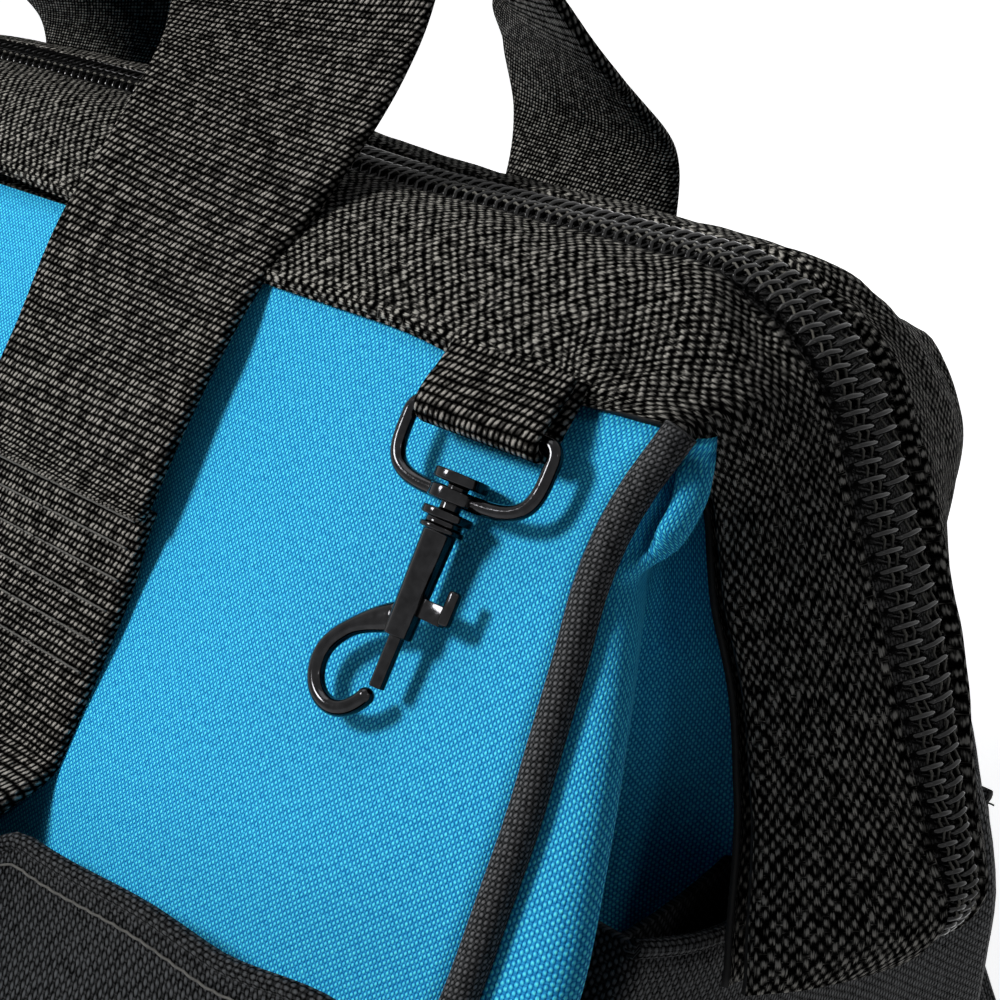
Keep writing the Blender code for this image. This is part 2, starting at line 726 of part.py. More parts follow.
def gusset_mesh(name, sign):
    """The folded fabric between the piping and the sleeve's leg, from the end wall up."""
    rows = []
    for level in range(GUSSET_LEVELS + 1):
        share = level / GUSSET_LEVELS
        z = GUSSET_FOOT_Z + (GUSSET_TOP_Z - GUSSET_FOOT_Z) * share
        panel_y = -FOLD_Y + (z - FOLD_Z) * math.tan(UPPER_LEAN)
        start_x = PIPING_X + PIPING_RADIUS + GUSSET_THICKNESS
        leg_z = max(z, LEG_END_Z)
        leg_x = ZIP_CORNER_X + (ZIP_LINE_Z - leg_z) * math.tan(LEG_LEAN)
        leg_x -= (SLEEVE_LEG_FOOT_DEPTH + SLEEVE_SLOT + GUSSET_CLEAR_OF_LEG) / math.cos(LEG_LEAN)
        fold_in = GUSSET_IN * (1 - share)
        end_x = min(leg_x, start_x + (leg_x - start_x) * HALF_SHARE)
        end_x = min(end_x, END_PANEL_X + PANEL_THICKNESS)
        out_y = panel_y + PANEL_THICKNESS + GUSSET_OUT_Y * (1 - share * HALF_SHARE)
        out_y = min(out_y, -SLEEVE_LEG_FOOT_Y - GUSSET_CLEAR_OF_LEG)
        first = (start_x, panel_y + PANEL_THICKNESS * HALF_SHARE)
        second = (start_x, out_y)
        third_x = min(start_x - GUSSET_OUT - fold_in, leg_x)
        third = (third_x, second[1] + GUSSET_OUT_Y * HALF_SHARE)
        last = (end_x - GUSSET_OUT, min(-SLEEVE_EDGE_Y * HALF_SHARE, third[1] + GUSSET_IN_Y))
        rows.append([(sign * x, y, z) for x, y in (first, second, third, last)])
    return surface_mesh(name, rows)


def build_handle(side, line, top, turn, parent):
    mesh = loft_mesh(side + "_handle_loop", webbing_rings(line, top))
    foot = Vector(HANDLE_FOOT)
    foot.y = foot.y if turn == 0 else -foot.y
    hinge = add_empty(side + "_handle_hinge", foot, parent)
    add_object(side + "_handle_loop", mesh, WEBBING, (0, 0, 0), (0, 0, turn), hinge)


# Snap hook on its tab


def tab_origin():
    """The tab's top, on the upper panel's face at the foot of the band."""
    return Vector((TAB_X, -BAND_FOOT_Y, BAND_FOOT_Z))


def build_tab_and_hook(parent):
    lean = (-UPPER_LEAN, 0, 0)
    origin = tab_origin()
    inner_radius = RING_WIRE + TOUCH_GAP
    centre_y = RING_Y
    half = TAB_WIDTH * HALF_SHARE
    outer = inner_radius + TAB_THICKNESS
    path = [(centre_y + inner_radius, -TAB_RISE), (centre_y + inner_radius, -TAB_FOLD)]
    for step in range(1, TAB_STEPS):
        angle = math.pi * step / TAB_STEPS
        path.append(
            (centre_y + inner_radius * math.cos(angle), -TAB_FOLD - inner_radius * math.sin(angle))
        )
    path += [(centre_y - inner_radius, -TAB_FOLD), (centre_y - inner_radius, -TAB_RISE)]
    back = [(centre_y - outer, -TAB_RISE), (centre_y - outer, -TAB_FOLD)]
    for step in range(TAB_STEPS - 1, 0, -1):
        angle = math.pi * step / TAB_STEPS
        back.append((centre_y + outer * math.cos(angle), -TAB_FOLD - outer * math.sin(angle)))
    back += [(centre_y + outer, -TAB_FOLD), (centre_y + outer, -TAB_RISE)]
    section = path + back
    rings = [[(x, y, z) for y, z in section] for x in (-half, half)]
    add_object("tab_webbing", loft_mesh("tab_webbing", rings), WEBBING, origin, lean, parent)

    bar = leaning_point(origin, 0.0, centre_y, -TAB_FOLD)
    ring_hinge = add_empty("ring_hinge", bar, parent)
    ring = add_object("d_ring", ring_mesh(), HARDWARE, bar, lean, ring_hinge)
    boss_centre = (0, 0, -RING_DROP)
    boss = cylinder_mesh("ring_boss", BOSS_RADIUS, RING_WIRE * 2, centre=boss_centre)
    add_boolean(ring, add_cutter("ring_boss", boss, ring), "UNION")
    hole = cylinder_mesh("neck_hole", NECK_RADIUS + NECK_CLEARANCE, CUT_OVER, centre=boss_centre)
    add_boolean(ring, add_cutter("neck_hole", hole, ring), "DIFFERENCE")

    hook_origin = leaning_point(origin, 0.0, centre_y, -TAB_FOLD - RING_DROP)
    swivel = add_empty("hook_swivel", hook_origin, ring_hinge)
    build_hook(swivel, hook_origin, lean)


def leaning_point(origin, a, out, up):
    """A world point from the tab's frame: a along X, out from the panel, up along it."""
    y = out * math.cos(UPPER_LEAN) + up * math.sin(UPPER_LEAN)
    z = -out * math.sin(UPPER_LEAN) + up * math.cos(UPPER_LEAN)
    return Vector(origin) + Vector((a, y, z))


def ring_mesh():
    """A D-shaped ring: a straight bar in the tab, small shoulders and a deep, squarish bow below."""
    points = []
    straight = RING_HALF_WIDTH - RING_CORNER
    for corner in (-1, 1):
        for step in range(CORNER_RING_STEPS):
            angle = math.pi * HALF_SHARE * step / (CORNER_RING_STEPS - 1)
            angle = angle if corner < 0 else math.pi * HALF_SHARE - angle
            x = corner * (straight + RING_CORNER * math.cos(angle))
            points.append((x, 0.0, RING_CORNER * (math.sin(angle) - 1)))
    bow = RING_DROP - RING_CORNER
    for step in range(1, RING_STEPS):
        angle = math.pi * step / RING_STEPS
        c = math.cos(angle)
        x = RING_HALF_WIDTH * math.copysign(abs(c) ** HALF_SHARE, c)
        points.append((x, 0.0, -RING_CORNER - bow * math.sin(angle) ** HALF_SHARE))
    return tube_mesh("d_ring", points, RING_WIRE, closed=True)


def bend_of(start, turn, end, steps):
    """Points on the curve from start to end that leaves and arrives along lines through turn."""
    points = []
    for step in range(steps + 1):
        t = step / steps
        points.append(start * (1 - t) ** 2 + turn * 2 * t * (1 - t) + end * t * t)
    return points


def hook_line():
    """(points, half heights) of the bend, from inside the barrel to the rounded nose."""
    centre = Vector((ARC_CENTRE[0], 0.0, ARC_CENTRE[1]))
    arc = []
    for step in range(ARC_STEPS + 1):
        angle = ARC_START + (ARC_END - ARC_START) * step / ARC_STEPS
        arc.append(centre + Vector((math.cos(angle), 0.0, math.sin(angle))) * ARC_RADIUS)
    start = Vector((-ARM_START_X, 0.0, BARREL_FOOT + ARM_ABOVE_FOOT))
    turn = Vector((ARM_TURN[0], 0.0, ARM_TURN[1]))
    arm = bend_of(start, turn, arc[0], ARM_STEPS)
    nose_turn = Vector((NOSE_TURN[0], 0.0, NOSE_TURN[1]))
    nose_end = Vector((NOSE_END[0], 0.0, NOSE_END[1]))
    nose = bend_of(arc[-1], nose_turn, nose_end, NOSE_STEPS)
    points = arm[:-1] + arc + nose[1:]
    heights = []
    for i in range(len(points)):
        share = min(i / (ARM_STEPS - 1), 1)
        ease = share * share * (3 - 2 * share)
        heights.append(ARM_HALF_HEIGHT + (HOOK_WIRE - ARM_HALF_HEIGHT) * ease)
    onward = (points[-1] - points[-2]).normalized()
    for share in NOSE_ROUND_SHARES:
        points.append(nose_end + onward * HOOK_WIRE * share)
        heights.append(HOOK_WIRE * math.sqrt(1 - share * share))
    return points, heights


def build_hook(parent, origin, lean):
    """Swivel head, barrel and hook in one casting, with the spring bolt inside the barrel."""
    head_foot = RING_WIRE + RUN_GAP
    collar_top = WASHER_TOP - WASHER_HEIGHT
    flange_top = collar_top - COLLAR_HEIGHT
    steps = [
        (0.0, head_foot + HEAD_HEIGHT),
        (HEAD_RADIUS, head_foot + HEAD_HEIGHT),
        (HEAD_RADIUS, head_foot),
        (NECK_RADIUS, head_foot),
        (NECK_RADIUS, WASHER_TOP),
        (WASHER_RADIUS, WASHER_TOP),
        (WASHER_RADIUS, collar_top),
        (COLLAR_RADIUS, collar_top),
        (COLLAR_RADIUS, flange_top),
        (FLANGE_RADIUS, flange_top),
        (FLANGE_RADIUS, BARREL_TOP),
        (BARREL_RADIUS, BARREL_TOP),
        (BARREL_FOOT_RADIUS, BARREL_FOOT),
        (0.0, BARREL_FOOT),
    ]
    bm = bmesh.new()
    verts = [bm.verts.new((radius, 0.0, z)) for radius, z in steps]
    for a, b in zip(verts, verts[1:]):
        bm.edges.new((a, b))
    mesh = bpy.data.meshes.new("hook_body")
    bm.to_mesh(mesh)
    bm.free()
    body = add_object("hook_body", mesh, HARDWARE, origin, lean, parent)
    screw = body.modifiers.new("Screw", "SCREW")
    screw.axis = "Z"
    screw.steps = ROUND_SEGMENTS
    screw.render_steps = ROUND_SEGMENTS
    screw.use_merge_vertices = True
    screw.merge_threshold = MERGE
    screw.use_normal_calculate = True
    line, heights = hook_line()
    hook = add_cutter("hook_bend", tube_mesh("hook_bend", line, HOOK_WIRE, heights=heights), body)
    add_boolean(body, hook, "UNION")
    bolt_bore = add_cutter(
        "bolt_bore",
        cylinder_mesh(
            "bolt_bore",
            BOLT_RADIUS + BOLT_CLEARANCE,
            BORE_LENGTH + RUN_GAP,
            centre=(0, 0, BORE_CENTRE),
        ),
        body,
    )
    add_boolean(body, bolt_bore, "DIFFERENCE")
    slot_half = LUG_THICKNESS * HALF_SHARE + BOLT_CLEARANCE
    slot = add_cutter(
        "lug_slot",
        box_mesh(
            "lug_slot",
            (0, -slot_half, LUG_Z - LUG_HEIGHT * HALF_SHARE - RUN_GAP),
            (CUT_OVER, slot_half, LUG_Z + LUG_HEIGHT * HALF_SHARE + LUG_TRAVEL + RUN_GAP),
        ),
        body,
    )
    add_boolean(body, slot, "DIFFERENCE")
    bolt = add_object(
        "spring_bolt",
        cylinder_mesh("spring_bolt", BOLT_RADIUS, BOLT_LENGTH, centre=(0, 0, BOLT_CENTRE), segments=12),
        HARDWARE,
        origin,
        lean,
        parent,
    )
    lug = add_cutter(
        "bolt_lug",
        box_mesh(
            "bolt_lug",
            (0, -LUG_THICKNESS * HALF_SHARE, LUG_Z - LUG_HEIGHT * HALF_SHARE),
            (LUG_REACH, LUG_THICKNESS * HALF_SHARE, LUG_Z + LUG_HEIGHT * HALF_SHARE),
        ),
        bolt,
    )
    add_boolean(bolt, lug, "UNION")
    bar_centre = (LUG_REACH, 0, LUG_Z + LUG_BAR_RAISE)
    bar_mesh = cylinder_mesh("lug_bar", LUG_BAR_RADIUS, LUG_BAR_LENGTH, centre=bar_centre, segments=12)
    add_boolean(bolt, add_cutter("lug_bar", bar_mesh, bolt), "UNION")


def tube_mesh(name, points, radius, segments=10, closed=False, heights=()):
    """A tube through points in the XZ plane, as a mesh that a Boolean can join.

    heights, where given, are its half heights in that plane; a smaller one also narrows it.
    """
    rings = []
    last = len(points) - 1
    for i, point in enumerate(points):
        before = Vector(points[i - 1 if closed else max(i - 1, 0)])
        after = Vector(points[(i + 1) % len(points) if closed else min(i + 1, last)])
        tangent = (after - before).normalized()
        side = Vector((0.0, 1.0, 0.0))
        up = tangent.cross(side)
        tall = heights[i] if heights else radius
        wide = min(radius, tall)
        ring = []
        for k in range(segments):
            angle = math.tau * k / segments
            ring.append(Vector(point) + side * wide * math.cos(angle) + up * tall * math.sin(angle))
        rings.append(ring)
    return loft_mesh(name, rings, closed)


# Zip slider


def build_slider(parent):
    top = ZIP_LINE_Z + RUN_GAP
    origin = Vector((SLIDER_X, 0.0, top))
    runner = add_empty("slider_run", origin, parent)
    half = SLIDER_LENGTH * HALF_SHARE
    plate = SLIDER_PLATE
    width = SLIDER_HALF_WIDTH
    section = (
        (-width, plate),
        (width, plate),
        (width, -SLIDER_FLANGE),
        (width - plate, -SLIDER_FLANGE),
        (width - plate, 0.0),
        (plate - width, 0.0),
        (plate - width, -SLIDER_FLANGE),
        (-width, -SLIDER_FLANGE),
    )
    rings = [[(x, y, z) for y, z in section] for x in (-half, half)]
    slider = add_object("zip_slider", loft_mesh("zip_slider", rings), HARDWARE, origin, (0, 0, 0), runner)
    bridge_line = bridge_points()
    bridge = add_cutter("slider_bridge", tube_bar("slider_bridge", bridge_line), slider)
    add_boolean(slider, bridge, "UNION")
    pin = origin + Vector((0.0, 0.0, PULL_PIN_Z))
    pull_hinge = add_empty("pull_hinge", pin, runner)
    pull = add_object(
        "zip_pull",
        box_mesh(
            "zip_pull",
            (-PULL_EYE, -PULL_WIDTH * HALF_SHARE, -PULL_THICKNESS * HALF_SHARE),
            (PULL_LENGTH, PULL_WIDTH * HALF_SHARE, PULL_THICKNESS * HALF_SHARE),
        ),
        HARDWARE,
        pin,
        (0, 0, 0),
        pull_hinge,
    )
    eye = add_cutter(
        "pull_eye",
        box_mesh(
            "pull_eye",
            (PULL_EYE, -BRIDGE_WIDTH * HALF_SHARE - RUN_GAP, -PULL_THICKNESS),
            (PULL_EYE_FAR, BRIDGE_WIDTH * HALF_SHARE + RUN_GAP, PULL_THICKNESS),
        ),
        pull,
    )
    add_boolean(pull, eye, "DIFFERENCE")


def bridge_points():
    half = BRIDGE_LENGTH * HALF_SHARE
    low = SLIDER_PLATE * HALF_SHARE
    high = SLIDER_PLATE + BRIDGE_HEIGHT - BRIDGE_BAR
    outer = [(-half, low), (-half, high + BRIDGE_BAR), (half, high + BRIDGE_BAR), (half, low)]
    inner = [
        (half - BRIDGE_BAR, low),
        (half - BRIDGE_BAR, high),
        (BRIDGE_BAR - half, high),
        (BRIDGE_BAR - half, low),
    ]
    return outer + inner


def tube_bar(name, outline):
    half = BRIDGE_WIDTH * HALF_SHARE
    rings = [[(x, y, z) for x, z in outline] for y in (-half, half)]
    return loft_mesh(name, rings)


HANDLE_FOOT = leaning_point((0, -FOLD_Y, FOLD_Z), 0.0, -HANDLE_OUT, STITCH_UP - HANDLE_LAP)

clear_scene()
BAG = new_collection("tool_bag")
CUTTERS = new_collection("cutters")
CUTTERS.hide_render = True
BLUE = make_material("blue_polyester", (0.010, 0.170, 0.620), 0.75)
BLACK = make_material("black_polyester", (0.012, 0.012, 0.013), 0.80)
BAND = make_material("black_ballistic", (0.014, 0.014, 0.014), 0.65)
WEBBING = make_material("black_webbing", (0.018, 0.017, 0.015), 0.70)
PIPING = make_material("piping_fabric", (0.020, 0.020, 0.021), 0.70)
TAPE = make_material("zip_tape", (0.010, 0.010, 0.010), 0.80)
NYLON = make_material("zip_nylon", (0.012, 0.012, 0.012), 0.25)
MOULDED = make_material("moulded_base", (0.015, 0.015, 0.016), 0.55)
LINING = make_material("lining", (0.060, 0.060, 0.062), 0.85)
STEEL = make_material("frame_steel", (0.550, 0.550, 0.560), 0.35, 1.0)
HARDWARE = make_material("black_hardware", (0.020, 0.020, 0.022), 0.28, 0.6)

build_base()
build_lower_side("front", 0)
build_lower_side("back", math.pi)
build_end("right", 1)
build_end("left", -1)
FRONT_MOUTH = add_empty("front_mouth_hinge", (0, -FOLD_Y, FOLD_Z))
BACK_MOUTH = add_empty("back_mouth_hinge", (0, FOLD_Y, FOLD_Z))
build_mouth("front", 0, FRONT_MOUTH)
build_mouth("back", math.pi, BACK_MOUTH)
build_handle("front", FRONT_HANDLE_LINE, FRONT_HANDLE_TOP, 0, FRONT_MOUTH)
build_handle("back", BACK_HANDLE_LINE, BACK_HANDLE_TOP, math.pi, BACK_MOUTH)
build_tab_and_hook(FRONT_MOUTH)
build_slider(FRONT_MOUTH)
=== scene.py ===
# %% [markdown]
# # A gate-mouth tool bag
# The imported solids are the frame, and each piece below is dressed over them in metres, in the same
# frame: +X to the bag's right end, -Y to its front, +Z up, the origin under the middle of its base.

# %% The frame
import functools
import math

import bmesh
import bpy
from mathutils import Matrix, Vector, noise


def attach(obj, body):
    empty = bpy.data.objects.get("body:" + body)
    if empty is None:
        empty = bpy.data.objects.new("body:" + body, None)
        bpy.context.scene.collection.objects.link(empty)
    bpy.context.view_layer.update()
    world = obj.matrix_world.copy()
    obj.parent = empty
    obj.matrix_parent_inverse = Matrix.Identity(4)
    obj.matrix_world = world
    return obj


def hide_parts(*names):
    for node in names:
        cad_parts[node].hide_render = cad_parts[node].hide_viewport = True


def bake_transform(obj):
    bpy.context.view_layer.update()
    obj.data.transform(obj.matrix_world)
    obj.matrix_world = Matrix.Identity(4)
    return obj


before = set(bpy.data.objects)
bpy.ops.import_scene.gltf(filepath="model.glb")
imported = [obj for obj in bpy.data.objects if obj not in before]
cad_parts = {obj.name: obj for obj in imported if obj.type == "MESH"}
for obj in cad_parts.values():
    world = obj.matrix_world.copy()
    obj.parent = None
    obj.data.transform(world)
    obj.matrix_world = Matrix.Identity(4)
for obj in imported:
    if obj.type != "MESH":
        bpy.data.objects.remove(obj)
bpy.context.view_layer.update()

# %% [markdown]
# ## Camera and light
# The picture looks along the bag's right front corner from close by, a little down, with the camera
# rolled slightly. A long lens near the bag gives the strong perspective of its straps.

# %% Camera
CORNER = Vector((0.144, -0.030, 0.236))
VIEW_DISTANCE = 0.228
VIEW_YAW, VIEW_PITCH, VIEW_ROLL = (math.radians(degrees) for degrees in (43, 20, 4))
# how far the view's middle lies left of and below the corner, as shares of its distance
CORNER_RIGHT_SHARE = 0.01579
CORNER_ABOVE_SHARE = 0.06842
camera_data = bpy.data.cameras.new("photo_camera")
camera_data.sensor_width = 36.0
camera_data.lens = 68.4
camera_data.clip_start = 0.01
camera = bpy.data.objects.new("photo_camera", camera_data)
bpy.context.scene.collection.objects.link(camera)
level_share = math.cos(VIEW_PITCH)
forward = Vector(
    (-math.sin(VIEW_YAW) * level_share, math.cos(VIEW_YAW) * level_share, -math.sin(VIEW_PITCH))
)
level = Vector((math.cos(VIEW_YAW), math.sin(VIEW_YAW), 0.0))
upright = level.cross(forward)
right = level * math.cos(VIEW_ROLL) + upright * math.sin(VIEW_ROLL)
above = upright * math.cos(VIEW_ROLL) - level * math.sin(VIEW_ROLL)
place = CORNER - (forward + right * CORNER_RIGHT_SHARE + above * CORNER_ABOVE_SHARE) * VIEW_DISTANCE
camera.matrix_world = Matrix(
    (
        (right.x, above.x, -forward.x, place.x),
        (right.y, above.y, -forward.y, place.y),
        (right.z, above.z, -forward.z, place.z),
        (0, 0, 0, 1),
    )
)
bpy.context.scene.camera = camera
print("Camera at", [round(c, 4) for c in place])


# %% Soft studio light
def soft_light(name, spot, aim, size, power):
    data = bpy.data.lights.new(name, "AREA")
    data.energy = power
    data.size = size
    lamp = bpy.data.objects.new(name, data)
    bpy.context.scene.collection.objects.link(lamp)
    lamp.location = spot
    lamp.rotation_euler = (Vector(aim) - Vector(spot)).to_track_quat("-Z", "Y").to_euler()


soft_light("key_light", (-0.27, -0.57, 0.62), (0.10, 0.0, 0.2), 0.18, 6.1)
soft_light("top_light", (-0.35, -0.10, 1.20), (0.1, 0.0, 0.2), 0.60, 3.15)
soft_light("right_fill", (1.3, -0.5, 0.7), (0.15, 0.0, 0.15), 0.9, 0.09)
soft_light("glint_light", (0.95, -0.10, 1.00), (0.16, 0.0, 0.22), 0.12, 0.54)
soft_light("back_light", (-0.30, 1.30, 0.12), (0.0, 0.0, 0.15), 0.60, 1.4)
world = bpy.data.worlds.new("studio_world")
bpy.context.scene.world = world
world.use_nodes = True
backdrop = world.node_tree.nodes["Background"]


def where_seen(tree):
    """1 for rays from the camera, metal and glass; 0 for the light that cloth gathers."""
    path = tree.nodes.new("ShaderNodeLightPath")
    seen = path.outputs["Is Camera Ray"]
    for kind in ("Is Glossy Ray", "Is Transmission Ray"):
        either = tree.nodes.new("ShaderNodeMath")
        either.operation = "MAXIMUM"
        tree.links.new(seen, either.inputs[0])
        tree.links.new(path.outputs[kind], either.inputs[1])
        seen = either.outputs[0]
    return seen


glow = world.node_tree.nodes.new("ShaderNodeMix")
glow.data_type = "RGBA"
SHADE_ON_CLOTH = (0.010, 0.016, 0.026, 1)
WHITE = (1, 1, 1, 1)
glow.inputs[6].default_value = SHADE_ON_CLOTH
glow.inputs[7].default_value = WHITE
world.node_tree.links.new(where_seen(world.node_tree), glow.inputs[0])
world.node_tree.links.new(glow.outputs[2], backdrop.inputs["Color"])
bpy.context.scene.view_settings.view_transform = "Standard"

# %% Floor
FLOOR_SIZE = 12.0
floor_mesh = bpy.data.meshes.new("studio_floor")
floor_bm = bmesh.new()
bmesh.ops.create_grid(floor_bm, x_segments=1, y_segments=1, size=FLOOR_SIZE)
floor_bm.to_mesh(floor_mesh)
floor_bm.free()
floor = bpy.data.objects.new("studio_floor", floor_mesh)
bpy.context.scene.collection.objects.link(floor)
floor_material = bpy.data.materials.new("studio_floor")
floor_material.use_nodes = True
floor_nodes = floor_material.node_tree.nodes
floor_shader = floor_nodes["Principled BSDF"]
floor_shader.inputs["Base Color"].default_value = (0.92, 0.92, 0.92, 1)
floor_shader.inputs["Roughness"].default_value = 0.9
floor_links = floor_material.node_tree.links
floor_place = floor_nodes.new("ShaderNodeNewGeometry")
floor_reach = floor_nodes.new("ShaderNodeVectorMath")
floor_reach.operation = "LENGTH"
floor_fade = floor_nodes.new("ShaderNodeMapRange")
# the floor is a little darker within a quarter of a metre of the bag and white from 1.1 m on
for socket, value in {"From Min": 0.25, "From Max": 1.1, "To Min": 0.72, "To Max": 1.0}.items():
    floor_fade.inputs[socket].default_value = value
floor_glow = floor_nodes.new("ShaderNodeMath")
floor_glow.operation = "MULTIPLY"
floor_shader.inputs["Emission Color"].default_value = WHITE
floor_links.new(floor_place.outputs["Position"], floor_reach.inputs[0])
floor_links.new(floor_reach.outputs["Value"], floor_fade.inputs["Value"])
floor_links.new(floor_fade.outputs["Result"], floor_glow.inputs[0])
floor_links.new(where_seen(floor_material.node_tree), floor_glow.inputs[1])
floor_links.new(floor_glow.outputs[0], floor_shader.inputs["Emission Strength"])
floor_mesh.materials.append(floor_material)
print("Floor and lights are set")


# %% [markdown]
# ## Woven materials
# Every cloth on this bag shows its weave from close by. Each sheet's UV map is in metres of cloth,
# so one recipe, given the thread pitch, makes them all: a cell's height rises where a thread passes
# over, and the same height paints light onto the thread's back and painted shade into the holes between.


# %% Shader helpers
class Recipe:
    """A material being made, with short calls for its maths nodes."""

    def __init__(self, name):
        self.material = bpy.data.materials.new(name)
        self.material.use_nodes = True
        self.tree = self.material.node_tree
        self.shader = self.tree.nodes["Principled BSDF"]

    def add(self, kind, **settings):
        node = self.tree.nodes.new(kind)
        for key, value in settings.items():
            setattr(node, key, value)
        return node

    def link(self, source, target):
        self.tree.links.new(source, target)

    def feed(self, socket, value):
        if isinstance(value, bpy.types.NodeSocket):
            self.link(value, socket)
        else:
            socket.default_value = value

    def maths(self, operation, first, second=0.0, third=None):
        node = self.add("ShaderNodeMath", operation=operation)
        self.feed(node.inputs[0], first)
        self.feed(node.inputs[1], second)
        if third is not None:
            self.feed(node.inputs[2], third)
        return node.outputs[0]

    def cell(self, value):
        """(whole number, place in the cell) of a running count of threads."""
        return self.maths("FLOOR", value), self.maths("FRACT", value)

    def shine(self, shade, most):
        """Shine for a thread's back: none in the pits, the most on its crown."""
        node = self.add("ShaderNodeMapRange")
        self.link(shade, node.inputs["Value"])
        limits = {"From Min": 0.5, "From Max": 0.9, "To Min": 0.0, "To Max": most}
        for socket, value in limits.items():
            node.inputs[socket].default_value = value
        return node.outputs[0]

    def hump(self, place, sharpness):
        """A round rise and fall over one cell, 1 at its middle."""
        rise = self.maths("SINE", self.maths("MULTIPLY", place, math.pi))
        return self.maths("POWER", self.maths("ABSOLUTE", rise), sharpness)

    def counts(self, pitch_across, pitch_along, turn=0.0):
        """Running counts of threads both ways, and the cloth's own place, from the UV map in metres."""
        uv = self.add("ShaderNodeUVMap", uv_map="cloth")
        turned = self.add("ShaderNodeMapping")
        turned.inputs["Rotation"].default_value = (0, 0, turn)
        self.link(uv.outputs[0], turned.inputs["Vector"])
        split = self.add("ShaderNodeSeparateXYZ")
        self.link(turned.outputs[0], split.inputs[0])
        across = self.maths("DIVIDE", split.outputs[0], pitch_across)
        along = self.maths("DIVIDE", split.outputs[1], pitch_along)
        return across, along, turned.outputs[0]

    def noise(self, vector, scale, detail=2.0):
        node = self.add("ShaderNodeTexNoise")
        node.inputs["Scale"].default_value = scale
        node.inputs["Detail"].default_value = detail
        self.link(vector, node.inputs["Vector"])
        return node.outputs["Fac"]

    def ramp(self, value, stops):
        node = self.add("ShaderNodeValToRGB")
        while len(node.color_ramp.elements) < len(stops):
            node.color_ramp.elements.new(0.5)
        for element, (position, colour) in zip(node.color_ramp.elements, stops):
            element.position = position
            element.color = (*colour, 1)
        self.link(value, node.inputs["Fac"])
        return node.outputs["Color"]

    def finish(self, colour, height, depth, roughness, bump=1.0, specular=0.5):
        self.feed(self.shader.inputs["Base Color"], colour)
        self.feed(self.shader.inputs["Roughness"], roughness)
        self.feed(self.shader.inputs["Specular IOR Level"], specular)
        relief = self.add("ShaderNodeBump")
        relief.inputs["Strength"].default_value = bump
        relief.inputs["Distance"].default_value = depth
        self.link(height, relief.inputs["Height"])
        self.link(relief.outputs[0], self.shader.inputs["Normal"])
        return self.material


# %% Plain weaves
def plain_weave(
    name, pitch, stops, depth, roughness, turn=0.0, fuzz=0.4, wander=0.12, specular=0.5, sink=0.3, pits=0.0
):
    """Cloth whose threads pass over and under one another, one by one.

    Each thread is round across and rises and sinks along; the higher of the two directions shows. The
    cross threads lie deeper by sink, and painted shade darkens them into spots in a brick pattern; pits
    opens holes there, painted dark as shade, between threads that close up along the diagonals. The
    colour ramp paints shade into every low place and painted highlights onto the thread crowns.
    """
    round_share = 0.5
    r = Recipe(name)
    across, along, flat = r.counts(pitch, pitch, turn)
    drift = r.noise(flat, 0.16 / pitch, 1.0)
    across = r.maths("MULTIPLY_ADD", drift, wander * 3, across)
    drift = r.noise(flat, 0.23 / pitch, 1.0)
    along = r.maths("MULTIPLY_ADD", drift, wander * 3, along)
    column, u = r.cell(across)
    row, v = r.cell(along)
    heights = []
    for place, crossing, own, phase in ((u, along, column, 0.0), (v, across, row, 1.0)):
        wave = r.maths("ADD", r.maths("SUBTRACT", crossing, 0.5), r.maths("ADD", own, phase))
        climb = r.maths("COSINE", r.maths("MULTIPLY", wave, math.pi))
        climb = r.maths("MULTIPLY_ADD", climb, 0.5 * (1 - round_share), 0.5 * (1 - round_share))
        rise = r.maths("MULTIPLY_ADD", r.hump(place, 0.6), round_share, climb)
        heights.append(r.maths("MULTIPLY", rise, 1 - sink * phase))
    warp_up = r.maths("GREATER_THAN", heights[0], heights[1])
    weave = r.maths("MAXIMUM", heights[0], heights[1])
    if pits:
        quarter = -math.pi / 2
        sways = [r.maths("COSINE", r.maths("MULTIPLY_ADD", c, math.pi, quarter)) for c in (across, along)]
        net = r.maths("MULTIPLY_ADD", r.maths("MULTIPLY", sways[0], sways[1]), 0.5, 0.5)
        net = r.maths("POWER", net, 0.6)
        weave = r.maths("MULTIPLY_ADD", r.maths("SUBTRACT", net, weave), pits, weave)
    strands = []
    for stretch in ((7.0, 0.9, 1.0), (0.9, 7.0, 1.0)):
        squeeze = r.add("ShaderNodeMapping")
        squeeze.inputs["Scale"].default_value = stretch
        r.link(flat, squeeze.inputs["Vector"])
        strands.append(r.noise(squeeze.outputs[0], 0.7 / pitch, 2.0))
    gap = r.maths("SUBTRACT", strands[0], strands[1])
    filament = r.maths("MULTIPLY_ADD", gap, warp_up, strands[1])
    filament = r.maths("SUBTRACT", filament, 0.5)
    blotch = r.maths("SUBTRACT", r.noise(flat, 0.5 / pitch, 2.0), 0.5)
    height = r.maths("MULTIPLY_ADD", filament, fuzz, weave)
    shade = r.maths("MULTIPLY_ADD", filament, fuzz * 1.6, weave)
    shade = r.maths("MULTIPLY_ADD", blotch, fuzz, shade)
    # painted light and shade: the ramp makes the low places near black and the thread crowns light
    colour = r.ramp(shade, stops)
    return r.finish(colour, height, depth, roughness, specular=r.shine(shade, specular))
